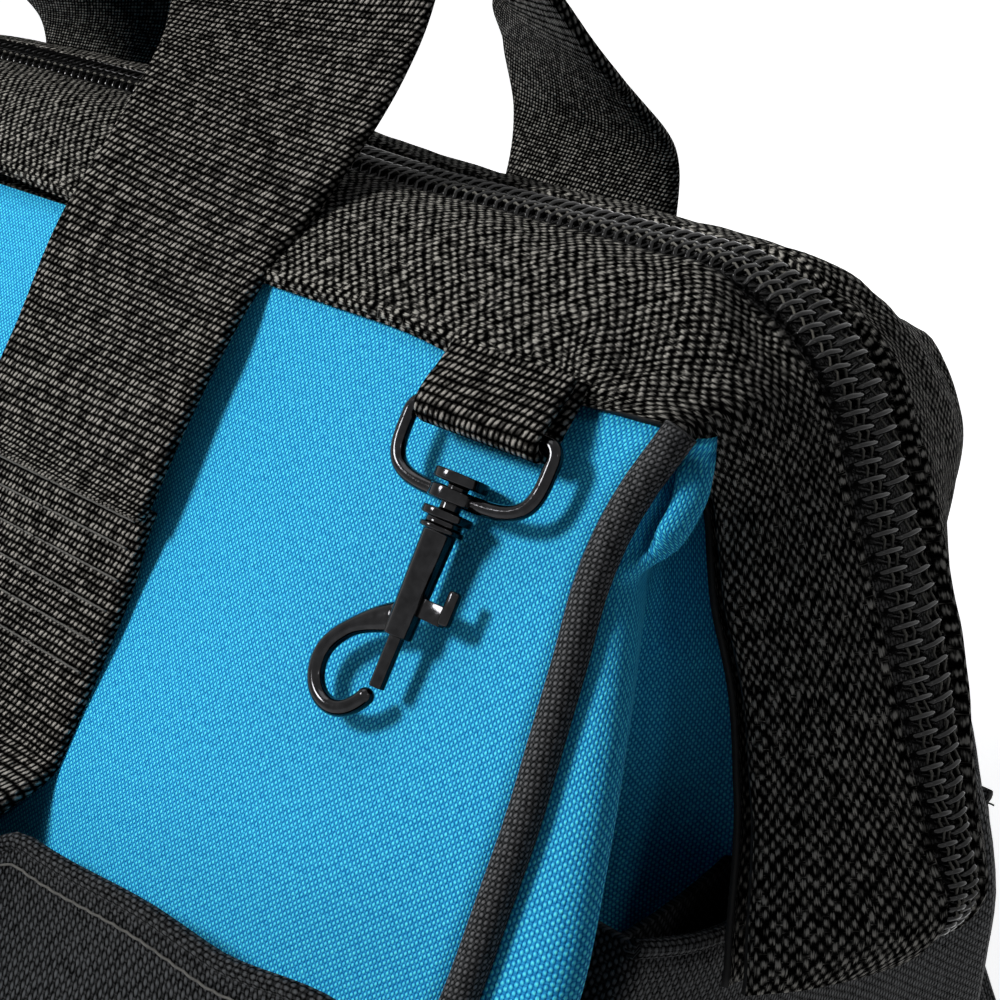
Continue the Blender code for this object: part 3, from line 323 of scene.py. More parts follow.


# each cloth's stops run from painted shade in its pits to painted highlights on its thread crowns
BLUE_CLOTH = plain_weave(
    "blue_polyester",
    0.00043,
    (
        (0.35, (0.004, 0.088, 0.31)),
        (0.62, (0.018, 0.30, 0.65)),
        (0.82, (0.048, 0.58, 0.90)),
        (1.0, (0.120, 0.90, 0.96)),
    ),
    0.00018,
    0.55,
    fuzz=0.3,
    specular=0.16,
    sink=0.35,
)
COARSE_CLOTH = plain_weave(
    "black_ballistic",
    0.00082,
    (
        (0.42, (0.0006, 0.0006, 0.0006)),
        (0.60, (0.010, 0.0096, 0.0088)),
        (0.80, (0.090, 0.086, 0.077)),
        (1.0, (0.42, 0.40, 0.36)),
    ),
    0.00050,
    0.55,
    fuzz=0.95,
    wander=0.35,
    specular=0.02,
    sink=0.38,
    pits=0.5,
)
POCKET_CLOTH = plain_weave(
    "black_polyester",
    0.00070,
    ((0.35, (0.001, 0.001, 0.001)), (0.65, (0.007, 0.0074, 0.0078)), (1.0, (0.055, 0.058, 0.062))),
    0.00022,
    0.5,
    specular=0.08,
)
PIPING_CLOTH = plain_weave(
    "piping_fabric",
    0.00050,
    ((0.35, (0.0035, 0.0035, 0.0035)), (0.65, (0.026, 0.027, 0.028)), (1.0, (0.13, 0.13, 0.135))),
    0.00015,
    0.5,
    turn=0.6,
    specular=0.08,
)
TAPE_CLOTH = plain_weave(
    "zip_tape",
    0.00055,
    ((0.35, (0.002, 0.002, 0.002)), (0.65, (0.012, 0.012, 0.012)), (1.0, (0.06, 0.06, 0.06))),
    0.00015,
    0.6,
)
print("Plain weaves:", [m.name for m in (BLUE_CLOTH, COARSE_CLOTH, POCKET_CLOTH, PIPING_CLOTH, TAPE_CLOTH)])


# %% Ribbed webbing
def webbing(name, rib, lump, lean, stops, depth, roughness):
    """Heavy webbing: ribs across its width, each a row of short floats that lean with the twill.

    The floats' height sets their colour: painted shade in the gaps and painted highlights on the floats.
    """
    r = Recipe(name)
    across, along, flat = r.counts(lump, rib)
    drift = r.noise(flat, 160.0, 1.0)
    across = r.maths("MULTIPLY_ADD", drift, 0.5, across)
    along = r.maths("MULTIPLY_ADD", r.noise(flat, 220.0, 1.0), 0.35, along)
    row, v = r.cell(along)
    shifted = r.maths("MULTIPLY_ADD", row, lean, across)
    slanted = r.maths("MULTIPLY_ADD", v, -0.55, shifted)
    float_number, u = r.cell(slanted)
    lumps = r.maths("MULTIPLY", r.hump(u, 0.55), r.hump(v, 0.5))
    pick = r.add("ShaderNodeCombineXYZ")
    r.link(float_number, pick.inputs[0])
    r.link(row, pick.inputs[1])
    chance = r.add("ShaderNodeTexWhiteNoise")
    r.link(pick.outputs[0], chance.inputs["Vector"])
    chance = r.maths("SUBTRACT", chance.outputs["Value"], 0.5)
    threads = r.maths("SUBTRACT", r.noise(flat, 2600.0, 3.0), 0.5)
    height = r.maths("MULTIPLY_ADD", threads, 0.5, r.maths("MULTIPLY_ADD", chance, 0.25, lumps))
    shade = r.maths("MULTIPLY_ADD", threads, 0.9, r.maths("MULTIPLY_ADD", chance, 0.35, lumps))
    # painted light and shade: the ramp makes the gaps near black and the floats' backs light
    colour = r.ramp(shade, stops)
    return r.finish(colour, height, depth, roughness, specular=r.shine(shade, 0.06))


# the stops run from painted shade in the gaps to painted highlights on the floats
WEBBING = webbing(
    "black_webbing",
    0.00112,
    0.00092,
    0.5,
    (
        (0.30, (0.001, 0.001, 0.001)),
        (0.60, (0.014, 0.0130, 0.0117)),
        (0.82, (0.072, 0.068, 0.061)),
        (1.0, (0.32, 0.30, 0.27)),
    ),
    0.00050,
    0.42,
)


# %% Plain finishes
def solid_finish(name, colour, roughness, metallic=0.0, grain=0.0, specular=0.5):
    r = Recipe(name)
    where = r.add("ShaderNodeTexCoord").outputs["Object"]
    speck = r.noise(where, 900.0, 3.0)
    tint = r.ramp(speck, ((0.3, [c * 0.8 for c in colour]), (0.7, [min(c * 1.25, 1) for c in colour])))
    r.shader.inputs["Metallic"].default_value = metallic
    rough = r.maths("MULTIPLY_ADD", speck, 0.12, roughness - 0.06)
    return r.finish(tint, speck, grain, rough, specular=specular)


NYLON = solid_finish("zip_nylon", (0.010, 0.010, 0.010), 0.09, specular=0.22)
HARDWARE = solid_finish("black_hardware", (0.020, 0.020, 0.021), 0.11, metallic=1.0, grain=0.00002)
MOULDED = solid_finish("moulded_base", (0.020, 0.020, 0.021), 0.55, grain=0.00010)
STEEL = solid_finish("frame_steel", (0.55, 0.55, 0.56), 0.35, metallic=1.0, grain=0.00002)
COIL_THREAD = solid_finish("coil_thread", (0.12, 0.115, 0.10), 0.45, specular=0.1, grain=0.00003)
THREAD = solid_finish("sewing_thread", (0.085, 0.083, 0.077), 0.45, specular=0.1, grain=0.00005)
CUT_EDGE = solid_finish("cut_edge", (0.012, 0.012, 0.012), 0.6, specular=0.1, grain=0.00005)
LINING = solid_finish("lining", (0.05, 0.05, 0.052), 0.85, grain=0.00010)
print("Hard finishes are ready")

# %% [markdown]
# ## Cloth sheets and tubes
# A sheet starts as a flat grid the size of its cut, with its UV map in metres, and each point is then
# moved to where the sewn cloth lies. A tube is the same sheet rolled up and joined at its seam.


# %% Sheets
def sheet(
    name,
    width,
    length,
    columns,
    rows,
    lay,
    material,
    thick=0.0,
    offset=-1.0,
    body=None,
    replace=(),
    measure=None,
):
    """A cut sheet laid in place by lay(across, along).

    measure, where given, turns the sheet's across into a true length of cloth for its UV map.
    """
    bm = bmesh.new()
    uv = bm.loops.layers.uv.new("cloth")
    bmesh.ops.create_grid(bm, x_segments=columns, y_segments=rows, size=0.5)
    for vert in bm.verts:
        across, along = vert.co.x * width, (vert.co.y + 0.5) * length
        for loop in vert.link_loops:
            loop[uv].uv = (measure(across) if measure else across, along)
        vert.co = lay(across, along)
    return finish_piece(bm, name, material, thick, offset, body, replace)


def finish_piece(bm, name, material, thick=0.0, offset=-1.0, body=None, replace=()):
    """Makes the piece, its wall if it has one, and its ties to the frame; coarse cloth has a cut edge."""
    mesh = bpy.data.meshes.new(name)
    for face in bm.faces:
        face.smooth = True
    bm.to_mesh(mesh)
    bm.free()
    mesh.materials.append(material)
    piece = bpy.data.objects.new(name, mesh)
    bpy.context.scene.collection.objects.link(piece)
    if thick:
        wall = piece.modifiers.new("Thickness", "SOLIDIFY")
        wall.thickness = thick
        wall.offset = offset
        if material is COARSE_CLOTH:
            mesh.materials.append(CUT_EDGE)
            wall.material_offset_rim = 1
    if body:
        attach(piece, body)
    if replace:
        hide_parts(*replace)
    return piece


# %% Straps with round selvedges
MERGE = 1e-6


def web(name, width, length, rows, lay, thick, body=None, replace=(), start=0.0):
    """Webbing laid along: two flat faces and two round selvedges, one cloth all the way round."""
    flats, rounds = 12, 5
    half, r = (width - thick) / 2, thick / 2
    ring = [(-half + 2 * half * i / flats, r) for i in range(flats)]
    turns = [math.pi * i / rounds for i in range(rounds)]
    ring += [(half + r * math.sin(turn), r * math.cos(turn)) for turn in turns]
    ring += [(-a, -out) for a, out in ring]
    ring.append(ring[0])
    girth = [0.0]
    for a, b in zip(ring, ring[1:]):
        girth.append(girth[-1] + math.dist(a, b))
    bm = bmesh.new()
    uv = bm.loops.layers.uv.new("cloth")
    bmesh.ops.create_grid(bm, x_segments=len(ring) - 1, y_segments=rows, size=0.5)
    step = 0.0002
    for vert in bm.verts:
        i = round((vert.co.x + 0.5) * (len(ring) - 1))
        across, out = ring[i]
        along = (vert.co.y + 0.5) * length
        for loop in vert.link_loops:
            loop[uv].uv = (girth[i], start + along)
        on_across = lay(across + step, along) - lay(across - step, along)
        on_along = lay(across, min(along + step, length)) - lay(across, max(along - step, 0.0))
        vert.co = lay(across, along) + on_across.cross(on_along).normalized() * out
    bmesh.ops.remove_doubles(bm, verts=bm.verts, dist=MERGE)
    bmesh.ops.holes_fill(bm, edges=bm.edges, sides=len(ring) + 2)
    bmesh.ops.recalc_face_normals(bm, faces=bm.faces)
    return finish_piece(bm, name, WEBBING, body=body, replace=replace)


# %% Tubes
def tube(name, line, radius, sides, material, body=None, replace=(), keep=False, side=(0, 1, 0)):
    """A round tube along points, its cloth joined at a seam and its ends closed; keep gives its bmesh."""
    line = [Vector(p) for p in line]
    reach = [0.0]
    for a, b in zip(line, line[1:]):
        reach.append(reach[-1] + (b - a).length)
    bm = bmesh.new()
    uv = bm.loops.layers.uv.new("cloth")
    bmesh.ops.create_grid(bm, x_segments=sides, y_segments=len(line) - 1, size=0.5)
    girth = math.tau * radius
    for vert in bm.verts:
        i = round((vert.co.y + 0.5) * (len(line) - 1))
        turn = (vert.co.x + 0.5) * math.tau
        tangent = (line[min(i + 1, len(line) - 1)] - line[max(i - 1, 0)]).normalized()
        out = Vector(side)
        out = (out - tangent * out.dot(tangent)).normalized()
        up = tangent.cross(out)
        for loop in vert.link_loops:
            loop[uv].uv = ((vert.co.x + 0.5) * girth, reach[i])
        vert.co = line[i] + (out * math.cos(turn) + up * math.sin(turn)) * radius
    bmesh.ops.remove_doubles(bm, verts=bm.verts, dist=MERGE)
    bmesh.ops.holes_fill(bm, edges=bm.edges, sides=sides + 2)
    bmesh.ops.recalc_face_normals(bm, faces=bm.faces)
    if keep:
        return bm
    return finish_piece(bm, name, material, body=body, replace=replace)


# %% [markdown]
# ## The bag's lines
# All cloth hangs from a few lines: the side profile of the long panels, folded along the pocket rim,
# and the zip line, which runs level, round a corner and down each frame leg. A stuffed bag isn't true,
# so short tables of knots, joined by smooth curves, let the piping bow in and draw one corner inwards.

# %% Side profile
FOOT = (0.0976, 0.0030)
FOLD = (0.0684, 0.1624)
BAND_FOOT = (0.0300, 0.2360)
LOWER = math.dist(FOOT, FOLD)
UPPER = math.dist(FOLD, BAND_FOOT)
LOWER_LEAN = math.atan2(FOOT[0] - FOLD[0], FOLD[1] - FOOT[1])
UPPER_LEAN = math.atan2(FOLD[0] - BAND_FOOT[0], BAND_FOOT[1] - FOLD[1])
PANEL_HALF = 0.1677
FOLD_EASE = 0.010
SIDES = ((-1, "front"), (1, "back"))


def smooth(value, low, high):
    share = min(max((value - low) / (high - low), 0.0), 1.0)
    return share * share * (3 - 2 * share)


def side_line(along):
    """(depth from the middle, height, lean) of the panels' face, at a length from the foot."""
    past = max(along - LOWER, 0.0)
    below = min(along, LOWER)
    if abs(along - LOWER) < FOLD_EASE:
        turn = (along - LOWER + FOLD_EASE) ** 2 / (4 * FOLD_EASE)
        below = along - turn
        past = turn
    depth = FOOT[0] - below * math.sin(LOWER_LEAN) - past * math.sin(UPPER_LEAN)
    height = FOOT[1] + below * math.cos(LOWER_LEAN) + past * math.cos(UPPER_LEAN)
    lean = LOWER_LEAN + (UPPER_LEAN - LOWER_LEAN) * smooth(along, LOWER - FOLD_EASE, LOWER + FOLD_EASE)
    return depth, height, lean


def through(knots, value):
    """A smooth curve through (value, result) knots, level beyond the first and the last."""
    last = len(knots) - 1
    value = min(max(value, knots[0][0]), knots[last][0])
    i = max(k for k in range(last) if knots[k][0] <= value)
    (x0, y0), (x1, y1) = knots[i], knots[i + 1]
    before, after = knots[max(i - 1, 0)], knots[min(i + 2, last)]
    slope0 = (y1 - before[1]) / (x1 - before[0]) if i else 0.0
    slope1 = (after[1] - y0) / (after[0] - x0) if i + 1 < last else 0.0
    t, step = (value - x0) / (x1 - x0), x1 - x0
    ends = y0 * (1 + 2 * t) * (1 - t) ** 2 + y1 * t * t * (3 - 2 * t)
    return ends + step * (slope0 * t * (1 - t) ** 2 - slope1 * t * t * (1 - t))


# (height, distance from the middle) of the piping, which bows in below the band
PIPING_BOW = (
    (0.1750, 0.1700),
    (0.1853, 0.1694),
    (0.1935, 0.1688),
    (0.2019, 0.1676),
    (0.2102, 0.1664),
    (0.2163, 0.1653),
    (0.2207, 0.1651),
    (0.2251, 0.1656),
    (0.2295, 0.1668),
    (0.2340, 0.1687),
    (0.2380, 0.1698),
)


def end_line(height):
    """How far from the middle the piping runs at a height."""
    return through(PIPING_BOW, height)


# (height, pull) of the right end's back corner, which leans in towards the middle
PULL = (
    (0.060, 0.0),
    (0.095, 0.0040),
    (0.105, 0.0078),
    (0.113, 0.0108),
    (0.125, 0.0105),
    (0.140, 0.0102),
    (0.155, 0.0132),
    (0.175, 0.0162),
    (0.200, 0.0175),
)


def drawn_in(point):
    """The right end's back corner is drawn in, as the photographed bag's is."""
    pull = through(PULL, point.z) * smooth(point.x, 0.085, 0.170) * smooth(point.y, -0.040, 0.050)
    return Vector((point.x - pull, point.y, point.z))


def on_side(x, along, out, side=-1):
    """A point on the front (side -1) or back (side 1), out from the panels' face."""
    depth, height, lean = side_line(along)
    return drawn_in(Vector((x, side * (depth + out * math.cos(lean)), height + out * math.sin(lean))))


def bend_at_fold(piece):
    """Bakes the piece's placing into its points; it is not tied to the shell or to a half of the mouth."""
    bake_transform(piece)


print("Side profile:", round(LOWER, 4), "m below the fold,", round(UPPER, 4), "m above")

# %% Zip line
ZIP_Z = 0.2485
LEG_LEAN = math.radians(24.7)
BEND = 0.0300
BEND_ANGLE = math.pi / 2 - LEG_LEAN
CORNER_X = 0.1665
LEG_FOOT_Z = 0.1780
LEVEL = CORNER_X - BEND * math.tan(BEND_ANGLE / 2)
BEND_LENGTH = BEND * BEND_ANGLE
LEG = (ZIP_Z - BEND + BEND * math.cos(BEND_ANGLE) - LEG_FOOT_Z) / math.cos(LEG_LEAN)
ZIP_HALF = LEVEL + BEND_LENGTH + LEG
MIDDLE_RISE = 0.0038
DRIFT = 0.0034
CURL_IN = 0.0080
CURL_FROM = 0.003
CURL_RUN = 0.0115
RUN_MORE = 0.0085
PINCH_SHARE = 0.45


def zip_line(along):
    """(point, outward, straightness) on the zip line, at a length from the middle of the bag.

    Its middle stands up a little, and its ends drift forward and curl in under the legs.
    """
    s = abs(along)
    if s <= LEVEL:
        point, angle = Vector((s, 0, ZIP_Z)), 0.0
    elif s <= LEVEL + BEND_LENGTH:
        angle = (s - LEVEL) / BEND
        point = Vector((LEVEL + BEND * math.sin(angle), 0, ZIP_Z - BEND + BEND * math.cos(angle)))
    else:
        angle = BEND_ANGLE
        point = Vector((LEVEL + BEND * math.sin(angle), 0, ZIP_Z - BEND + BEND * math.cos(angle)))
        down = s - LEVEL - BEND_LENGTH
        point += Vector((math.sin(LEG_LEAN), 0, -math.cos(LEG_LEAN))) * down
    point.z += MIDDLE_RISE * smooth(-s, -0.100, -0.020)
    outward = Vector((math.sin(angle), 0, math.cos(angle)))
    point.y = -DRIFT * smooth(s, ZIP_HALF - 0.040, ZIP_HALF - 0.003)
    point.x -= CURL_IN * (max(s - ZIP_HALF + CURL_FROM, 0.0) / CURL_RUN) ** 2
    if along < 0:
        point.x, outward.x = -point.x, -outward.x
    straight = 1 - smooth(s, LEVEL - 0.012, LEVEL + BEND_LENGTH + 0.004)
    return point, outward, straight


def run_down(along, share=1.0):
    """The zip's ends run further down than the band's foot; share is 0 at the foot, 1 at the zip."""
    more = RUN_MORE * smooth(abs(along), ZIP_HALF - 0.060, ZIP_HALF) * share
    return along + math.copysign(more, along)


def pinch(along):
    """The zip's two halves are squeezed together towards its ends."""
    return 1 - PINCH_SHARE * smooth(abs(along), ZIP_HALF - 0.036, ZIP_HALF - 0.006)


def off_zip(along, y, depth, side=-1):
    """A point beside the zip line: y from the middle, depth below its surface."""
    point, outward, _ = zip_line(along)
    return point - outward * depth + Vector((0, side * y, 0))


print("The zip is", round(2 * ZIP_HALF, 3), "m long")

# %% [markdown]
# ## Blue panels
# Each long side is one blue sheet from the tray up to the band. It is laid along the side profile,
# bent at the fold, and its face swells and dips a little, as stuffed cloth does.


# %% Blue cloth on the long sides
WAVE_HEIGHT = 0.0014
RIPPLE_HEIGHT = 0.0005
SWELL_X, SWELL_REACH, SWELL_OUT = 0.127, 0.042, 0.0014
DENT_X, DENT_UP, DENT_DEEP = 0.141, 0.042, 0.0014
DENT_WIDE, DENT_TALL = 0.011, 0.014


def panel_swell(x, along):
    """How far the cloth stands out: waves that fade at its edges, a swell beside each strap, and the
    dent that the hook presses into it.
    """
    fade = smooth(PANEL_HALF - abs(x), 0.0, 0.03) * smooth(LOWER + UPPER - along, 0.0, 0.014)
    wave = noise.noise(Vector((x * 16 + along * 9, along * 21 - x * 8, 3.7)))
    ripple = noise.noise(Vector((x * 40 + along * 30, along * 46 - x * 22, 7.7)))
    beside = max(1 - ((abs(x) - SWELL_X) / SWELL_REACH) ** 2, 0.0) * smooth(LOWER + UPPER - along, 0.0, 0.045)
    press = math.exp(-(((x - DENT_X) / DENT_WIDE) ** 2) - ((along - LOWER - DENT_UP) / DENT_TALL) ** 2)
    waves = (WAVE_HEIGHT * wave + RIPPLE_HEIGHT * ripple) * fade
    return waves + SWELL_OUT * beside - DENT_DEEP * press


PANEL_TOP = LOWER + UPPER
for side, label in SIDES:

    def lay_panel(across, along, side=side):
        tuck = smooth(abs(across), 0.116, 0.142) * smooth(along, PANEL_TOP - 0.020, PANEL_TOP)
        along -= 0.0032 * tuck
        edge = end_line(side_line(along)[1]) - 0.0018
        x = across / PANEL_HALF * edge
        return on_side(x * -side, along, panel_swell(x, along), side)

    panel = sheet(
        label + "_blue_cloth",
        2 * PANEL_HALF,
        PANEL_TOP + 0.0016,
        96,
        72,
        lay_panel,
        BLUE_CLOTH,
        thick=0.0026,
        replace=(label + "_lower_panel", label + "_upper_panel"),
    )
    bend_at_fold(panel)
    print(panel.name, "is", round(2000 * PANEL_HALF), "mm wide")

# %% [markdown]
# ## Sleeve bands
# The black band is a sleeve for the frame rod. It rises from the blue panel's top edge over the rod to
# the zip, turns down with each leg, and is hemmed at both ends. Its cloth creases across where it bends.

# %% Sleeve sections
EDGE = Vector((0.0082, 0.0012))
LEVEL_FOOT = Vector((0.0300, 0.0125))
LEG_DEPTH = 0.0115
SLEEVE_DEPTH = 0.0072
HEM_DEPTH = 0.0030
BAND_GIRTH = 0.056
BAND_WALL = 0.0009
LEG_Y = 0.0193
LEG_FLARE = 0.0078
BACK_LEG_SUNK = 0.0032
# (degrees round the corner, start, end) of the stretch where the hem leaves its level line for the leg
FRONT_TURN = (50, 0.0225, 0.0395)
BACK_TURN = (40, 0.0360, 0.0580)


def sleeve_foot(along, side):
    """(distance from the middle, depth) of the band's hem: level, out over the corner, then down the leg.

    At the corner it keeps to the panel's top edge until it has covered the piping. The front legs' feet
    flare near their hems, where nothing holds the cloth in.
    """
    round_bend = abs(along) - LEVEL
    down = round_bend - BEND_LENGTH
    reach, low, high = FRONT_TURN if side < 0 else BACK_TURN
    angle = min(max(round_bend / BEND, 0.0), math.radians(reach))
    rise = BEND - LEVEL_FOOT.y
    level = Vector((LEVEL_FOOT.x, LEVEL_FOOT.y + rise - rise / math.cos(angle)))
    level += Vector((0.0010, 0.0019)) * smooth(abs(along), 0.118, 0.146)
    leg_y = LEG_Y + 0.0030 * smooth(down, 0.0, 0.018) + 0.0020 * smooth(down, 0.024, 0.044)
    if side < 0:
        leg_y += LEG_FLARE * smooth(down, 0.038, 0.064)
    leg_depth = LEG_DEPTH + (BACK_LEG_SUNK * smooth(down, 0.0, 0.026) if side > 0 else 0.0)
    return level.lerp(Vector((leg_y, leg_depth)), smooth(round_bend, low, high))


def sleeve_section(along, share, height, side=-1):
    """A point over the sleeve's base line: share 0 at its foot to 1 at its zip edge."""
    foot = sleeve_foot(along, side)
    edge = Vector((EDGE.x * pinch(along), EDGE.y))
    run = edge - foot
    out = Vector((-run.y, run.x)).normalized() * (1 if run.x < 0 else -1)
    if out.y > 0:
        out = -out
    place = foot + run * share + out * height
    return place.x, place.y


def creases(along, share):
    """Wrinkles across the band, gathered by its stitching and strongest where it bends."""
    _, _, straight = zip_line(along)
    bend = 1 - abs(2 * straight - 1)
    ripple = noise.noise(Vector((along * 95 + share * 3.0, share * 2.2, 1.3)))
    fine = noise.noise(Vector((along * 210, share * 5.0, 8.1)))
    return (0.00035 + 0.0012 * bend) * ripple + (0.00018 + 0.0003 * bend) * fine


def band_point(along, share, side):
    """share 0 to 1 climbs the outside, 1 to 2 comes back down the inside."""
    _, _, straight = zip_line(along)
    if share <= 1:
        crown = (0.0003 + 0.0016 * straight) * math.sin(math.pi * share)
        crown += creases(along, share) * smooth(share, 0.0, 0.08)
        crown += 0.0010 * straight * smooth(share, 0.0, 0.03) * smooth(1 - share, 0.0, 0.3)
        over_tab = smooth(0.013 - abs(along - 0.144), 0.0, 0.006) * smooth(0.5 - share, 0.0, 0.5)
        crown += 0.0012 * straight * over_tab
        y, depth = sleeve_section(along, share, crown, side)
    else:
        down = share - 1
        sink = -(HEM_DEPTH + (SLEEVE_DEPTH - HEM_DEPTH) * math.sin(math.pi * (1 - down) ** 0.7))
        sink = max(sink, -SLEEVE_DEPTH) * smooth(down, 0, 0.10)
        y, depth = sleeve_section(along, 1 - down, sink, side)
    return off_zip(run_down(along, share if share <= 1 else 2 - share), y, depth, side)


def band_measure(across):
    """The cloth's length from its foot, measured round a level section."""
    share = (across / BAND_GIRTH + 0.5) * 2
    length = 0.0
    before = band_point(0.05, 0.0, -1)
    for step in range(1, 41):
        here = band_point(0.05, share * step / 40, -1)
        length += (here - before).length
        before = here
    return length


# %% Sleeves
for side, label in SIDES:

    def lay_band(across, along, side=side):
        share = (across / BAND_GIRTH + 0.5) * 2
        return band_point(along - ZIP_HALF, share, side)

    sheet(
        label + "_band",
        BAND_GIRTH,
        2 * ZIP_HALF,
        56,
        420,
        lay_band,
        COARSE_CLOTH,
        thick=BAND_WALL,
        offset=-1.0 if side < 0 else 1.0,
        body=label + "_mouth",
        replace=(label + "_sleeve",),
        measure=functools.lru_cache(None)(band_measure),
    )
print("Bands are", round(2000 * ZIP_HALF), "mm long")

# %% [markdown]
# ## Frame rods
# A bent steel rod in each sleeve holds the mouth's shape. It could be swept along the zip line, but the
# sleeve leaves that line at the corners, so the rod follows the sleeve's own section, sunk into it.

# %% Rods in their sleeves
ROD_RADIUS = 0.0022
ROD_SHARE = 0.56
ROD_DEEP = 0.0042
ROD_STEPS = 120
for side, label in SIDES:
    line = []
    for step in range(ROD_STEPS + 1):
        along = (ZIP_HALF - 0.005) * (2 * step / ROD_STEPS - 1)
        y, depth = sleeve_section(along, ROD_SHARE, -ROD_DEEP, side)
        line.append(off_zip(run_down(along, ROD_SHARE), y, depth, side))
    tube(label + "_rod", line, ROD_RADIUS, 12, STEEL, body=label + "_mouth", replace=(label + "_frame_rod",))
print("Each sleeve holds its rod")

# %% [markdown]
# ## Zip
# Each half of the chain is one nylon coil sewn to its tape by two rows of thread. A loop has a round
# head that locks past the middle and a bend at the back, where it climbs to the next loop. The coil is
# one long tube, so that a wire's highlight runs on from loop to loop.

# %% Zip coils
PITCH = 0.0020
COIL_WIRE = 0.00040
COIL_TURN = 10
COIL_THREAD_RADIUS = 0.00020
# the loops lie closer together over the last TIGHT_RUN of the wire, by TIGHTEN at its end
TIGHT_FROM = ZIP_HALF - 0.045
TIGHT_RUN = 0.0515
TIGHTEN = 0.35
LOOPS = int(2 * (TIGHT_FROM + TIGHT_RUN) / PITCH)


def tightened(along):
    """Where a place counted evenly in loops really lies: they close up towards the zip's ends."""
    past = max(abs(along) - TIGHT_FROM, 0.0)
    return along - math.copysign(past * past * TIGHTEN / (2 * TIGHT_RUN), along)


def coil_line(shift):
    """Points of one half's coil for the front side; shift moves its heads half a pitch."""
    points = []
    start = -PITCH * LOOPS / 2
    for step in range(LOOPS * COIL_TURN):
        turn, angle = divmod(step, COIL_TURN)
        angle = math.tau * angle / COIL_TURN
        along = tightened(start + PITCH * (turn + angle / math.tau + shift))
        skew = 0.0005 * math.cos(angle)
        y = 0.0023 - 0.0029 * math.cos(angle)
        depth = 0.0013 - 0.00125 * math.sin(angle)
        near_end = smooth(abs(along), ZIP_HALF - 0.012, ZIP_HALF)
        points.append((along + skew, y * pinch(along), depth + 0.001 * near_end))
    return points


for side, label in SIDES:
    shift = 0.0 if side < 0 else 0.5
    line = [off_zip(run_down(along), y, depth, side) for along, y, depth in coil_line(shift)]
    tube(
        label + "_coil_loops",
        line,
        COIL_WIRE,
        5,
        NYLON,
        body=label + "_mouth",
        replace=(label + "_zip_coil",),
        side=(0, 0, 1),
    )
COIL_SEAMS = (0.0019, 0.0037)
for side, label in SIDES:
    for row, y in enumerate(COIL_SEAMS):
        line = []
        for step in range(int(4 * (ZIP_HALF - 0.005) / PITCH)):
            along = step * PITCH / 2 - ZIP_HALF + 0.005
            line.append(off_zip(run_down(along), y * pinch(along), 0.0001 + 0.0005 * (step % 2), side))
        name = f"{label}_coil_stitches_{row + 1}"
        tube(name, line, COIL_THREAD_RADIUS, 5, COIL_THREAD, body=label + "_mouth", side=(0, 0, 1))
print("Coil loops:", LOOPS, "a side")

# %% Zip tapes
TAPE_HALF = ZIP_HALF - 0.0015
TAPE_WIDTH = 0.0090
TAPE_SHOWN = 0.0082
for side, label in SIDES:

    def lay_tape(across, along, side=side):
        y = 0.0002 + (across / TAPE_WIDTH + 0.5) * TAPE_SHOWN
        sag = 0.0028 + 0.0012 * smooth(y, 0.003, 0.008)
        return off_zip(run_down(along - TAPE_HALF), y * pinch(along - TAPE_HALF), sag, side)

    sheet(
        label + "_tape_cloth",
        TAPE_WIDTH,
        2 * TAPE_HALF,
        10,
        300,
        lay_tape,
        TAPE_CLOTH,
        thick=0.0006,
        offset=0.0,
        body=label + "_mouth",
        replace=(label + "_zip_tape",),
    )
print("Tapes are in place")

# %% [markdown]
# ## Straps, piping and handles
# A strap lies over the pocket, steps up to the panel at its rim and is sewn to it as far as the
# stitch line. Above that it is a free loop. The piping runs up both ends of each panel.

# %% Straps
STRAP_X = 0.0720
WEB_WIDTH = 0.0440
WEB_THICK = 0.0022
POCKET_FOOT = 0.0345
STITCH_Z = 0.2043
STITCH = LOWER + (STITCH_Z - FOLD[1]) / math.cos(UPPER_LEAN)
STRAP_REST = 0.0014
STRAP_OVER_POCKET = 0.0112


def strap_out(along):
    """How far the strap's middle lies out from the panel: over the pocket, then on the panel."""
    rest = STRAP_REST + STRAP_REST * smooth(along, STITCH - 0.012, STITCH)
    return rest + STRAP_OVER_POCKET * smooth(LOWER + 0.012 - along, 0.0, 0.014)


for side, label in SIDES:
    for x, hand in ((-STRAP_X * -side, "left"), (STRAP_X * -side, "right")):

        def lay_strap(across, along, side=side, x=x):
            reach = POCKET_FOOT + along
            cup = 0.0003 * math.cos(across / WEB_WIDTH * math.pi * 2)
            return on_side(x + across * -side, reach, strap_out(reach) + cup, side)

        strap = web(
            label + "_" + hand + "_strap",
            WEB_WIDTH,
            STITCH - POCKET_FOOT + 0.001,
            90,
            lay_strap,
            WEB_THICK,
            replace=(label + "_" + hand + "_lower_strap", label + "_" + hand + "_upper_strap"),
        )
        bend_at_fold(strap)
print("Straps reach", round(1000 * (STITCH - POCKET_FOOT)), "mm up from the tray")

# %% Stitch rows across the straps
SEWING_RADIUS = 0.00017


def stitch_row(name, place, length, out, body, thread):
    """A row of lockstitch: one thread that swells at each stitch and dips into the cloth between."""
    steps = round(length / 0.0004)
    line = []
    for step in range(steps + 1):
        dip = abs(math.sin(math.pi * step / 7))
        line.append(place(step / steps) + out * (0.00012 + 0.00022 * dip))
    tube(name, line, SEWING_RADIUS, 6, thread, body=body, side=out)


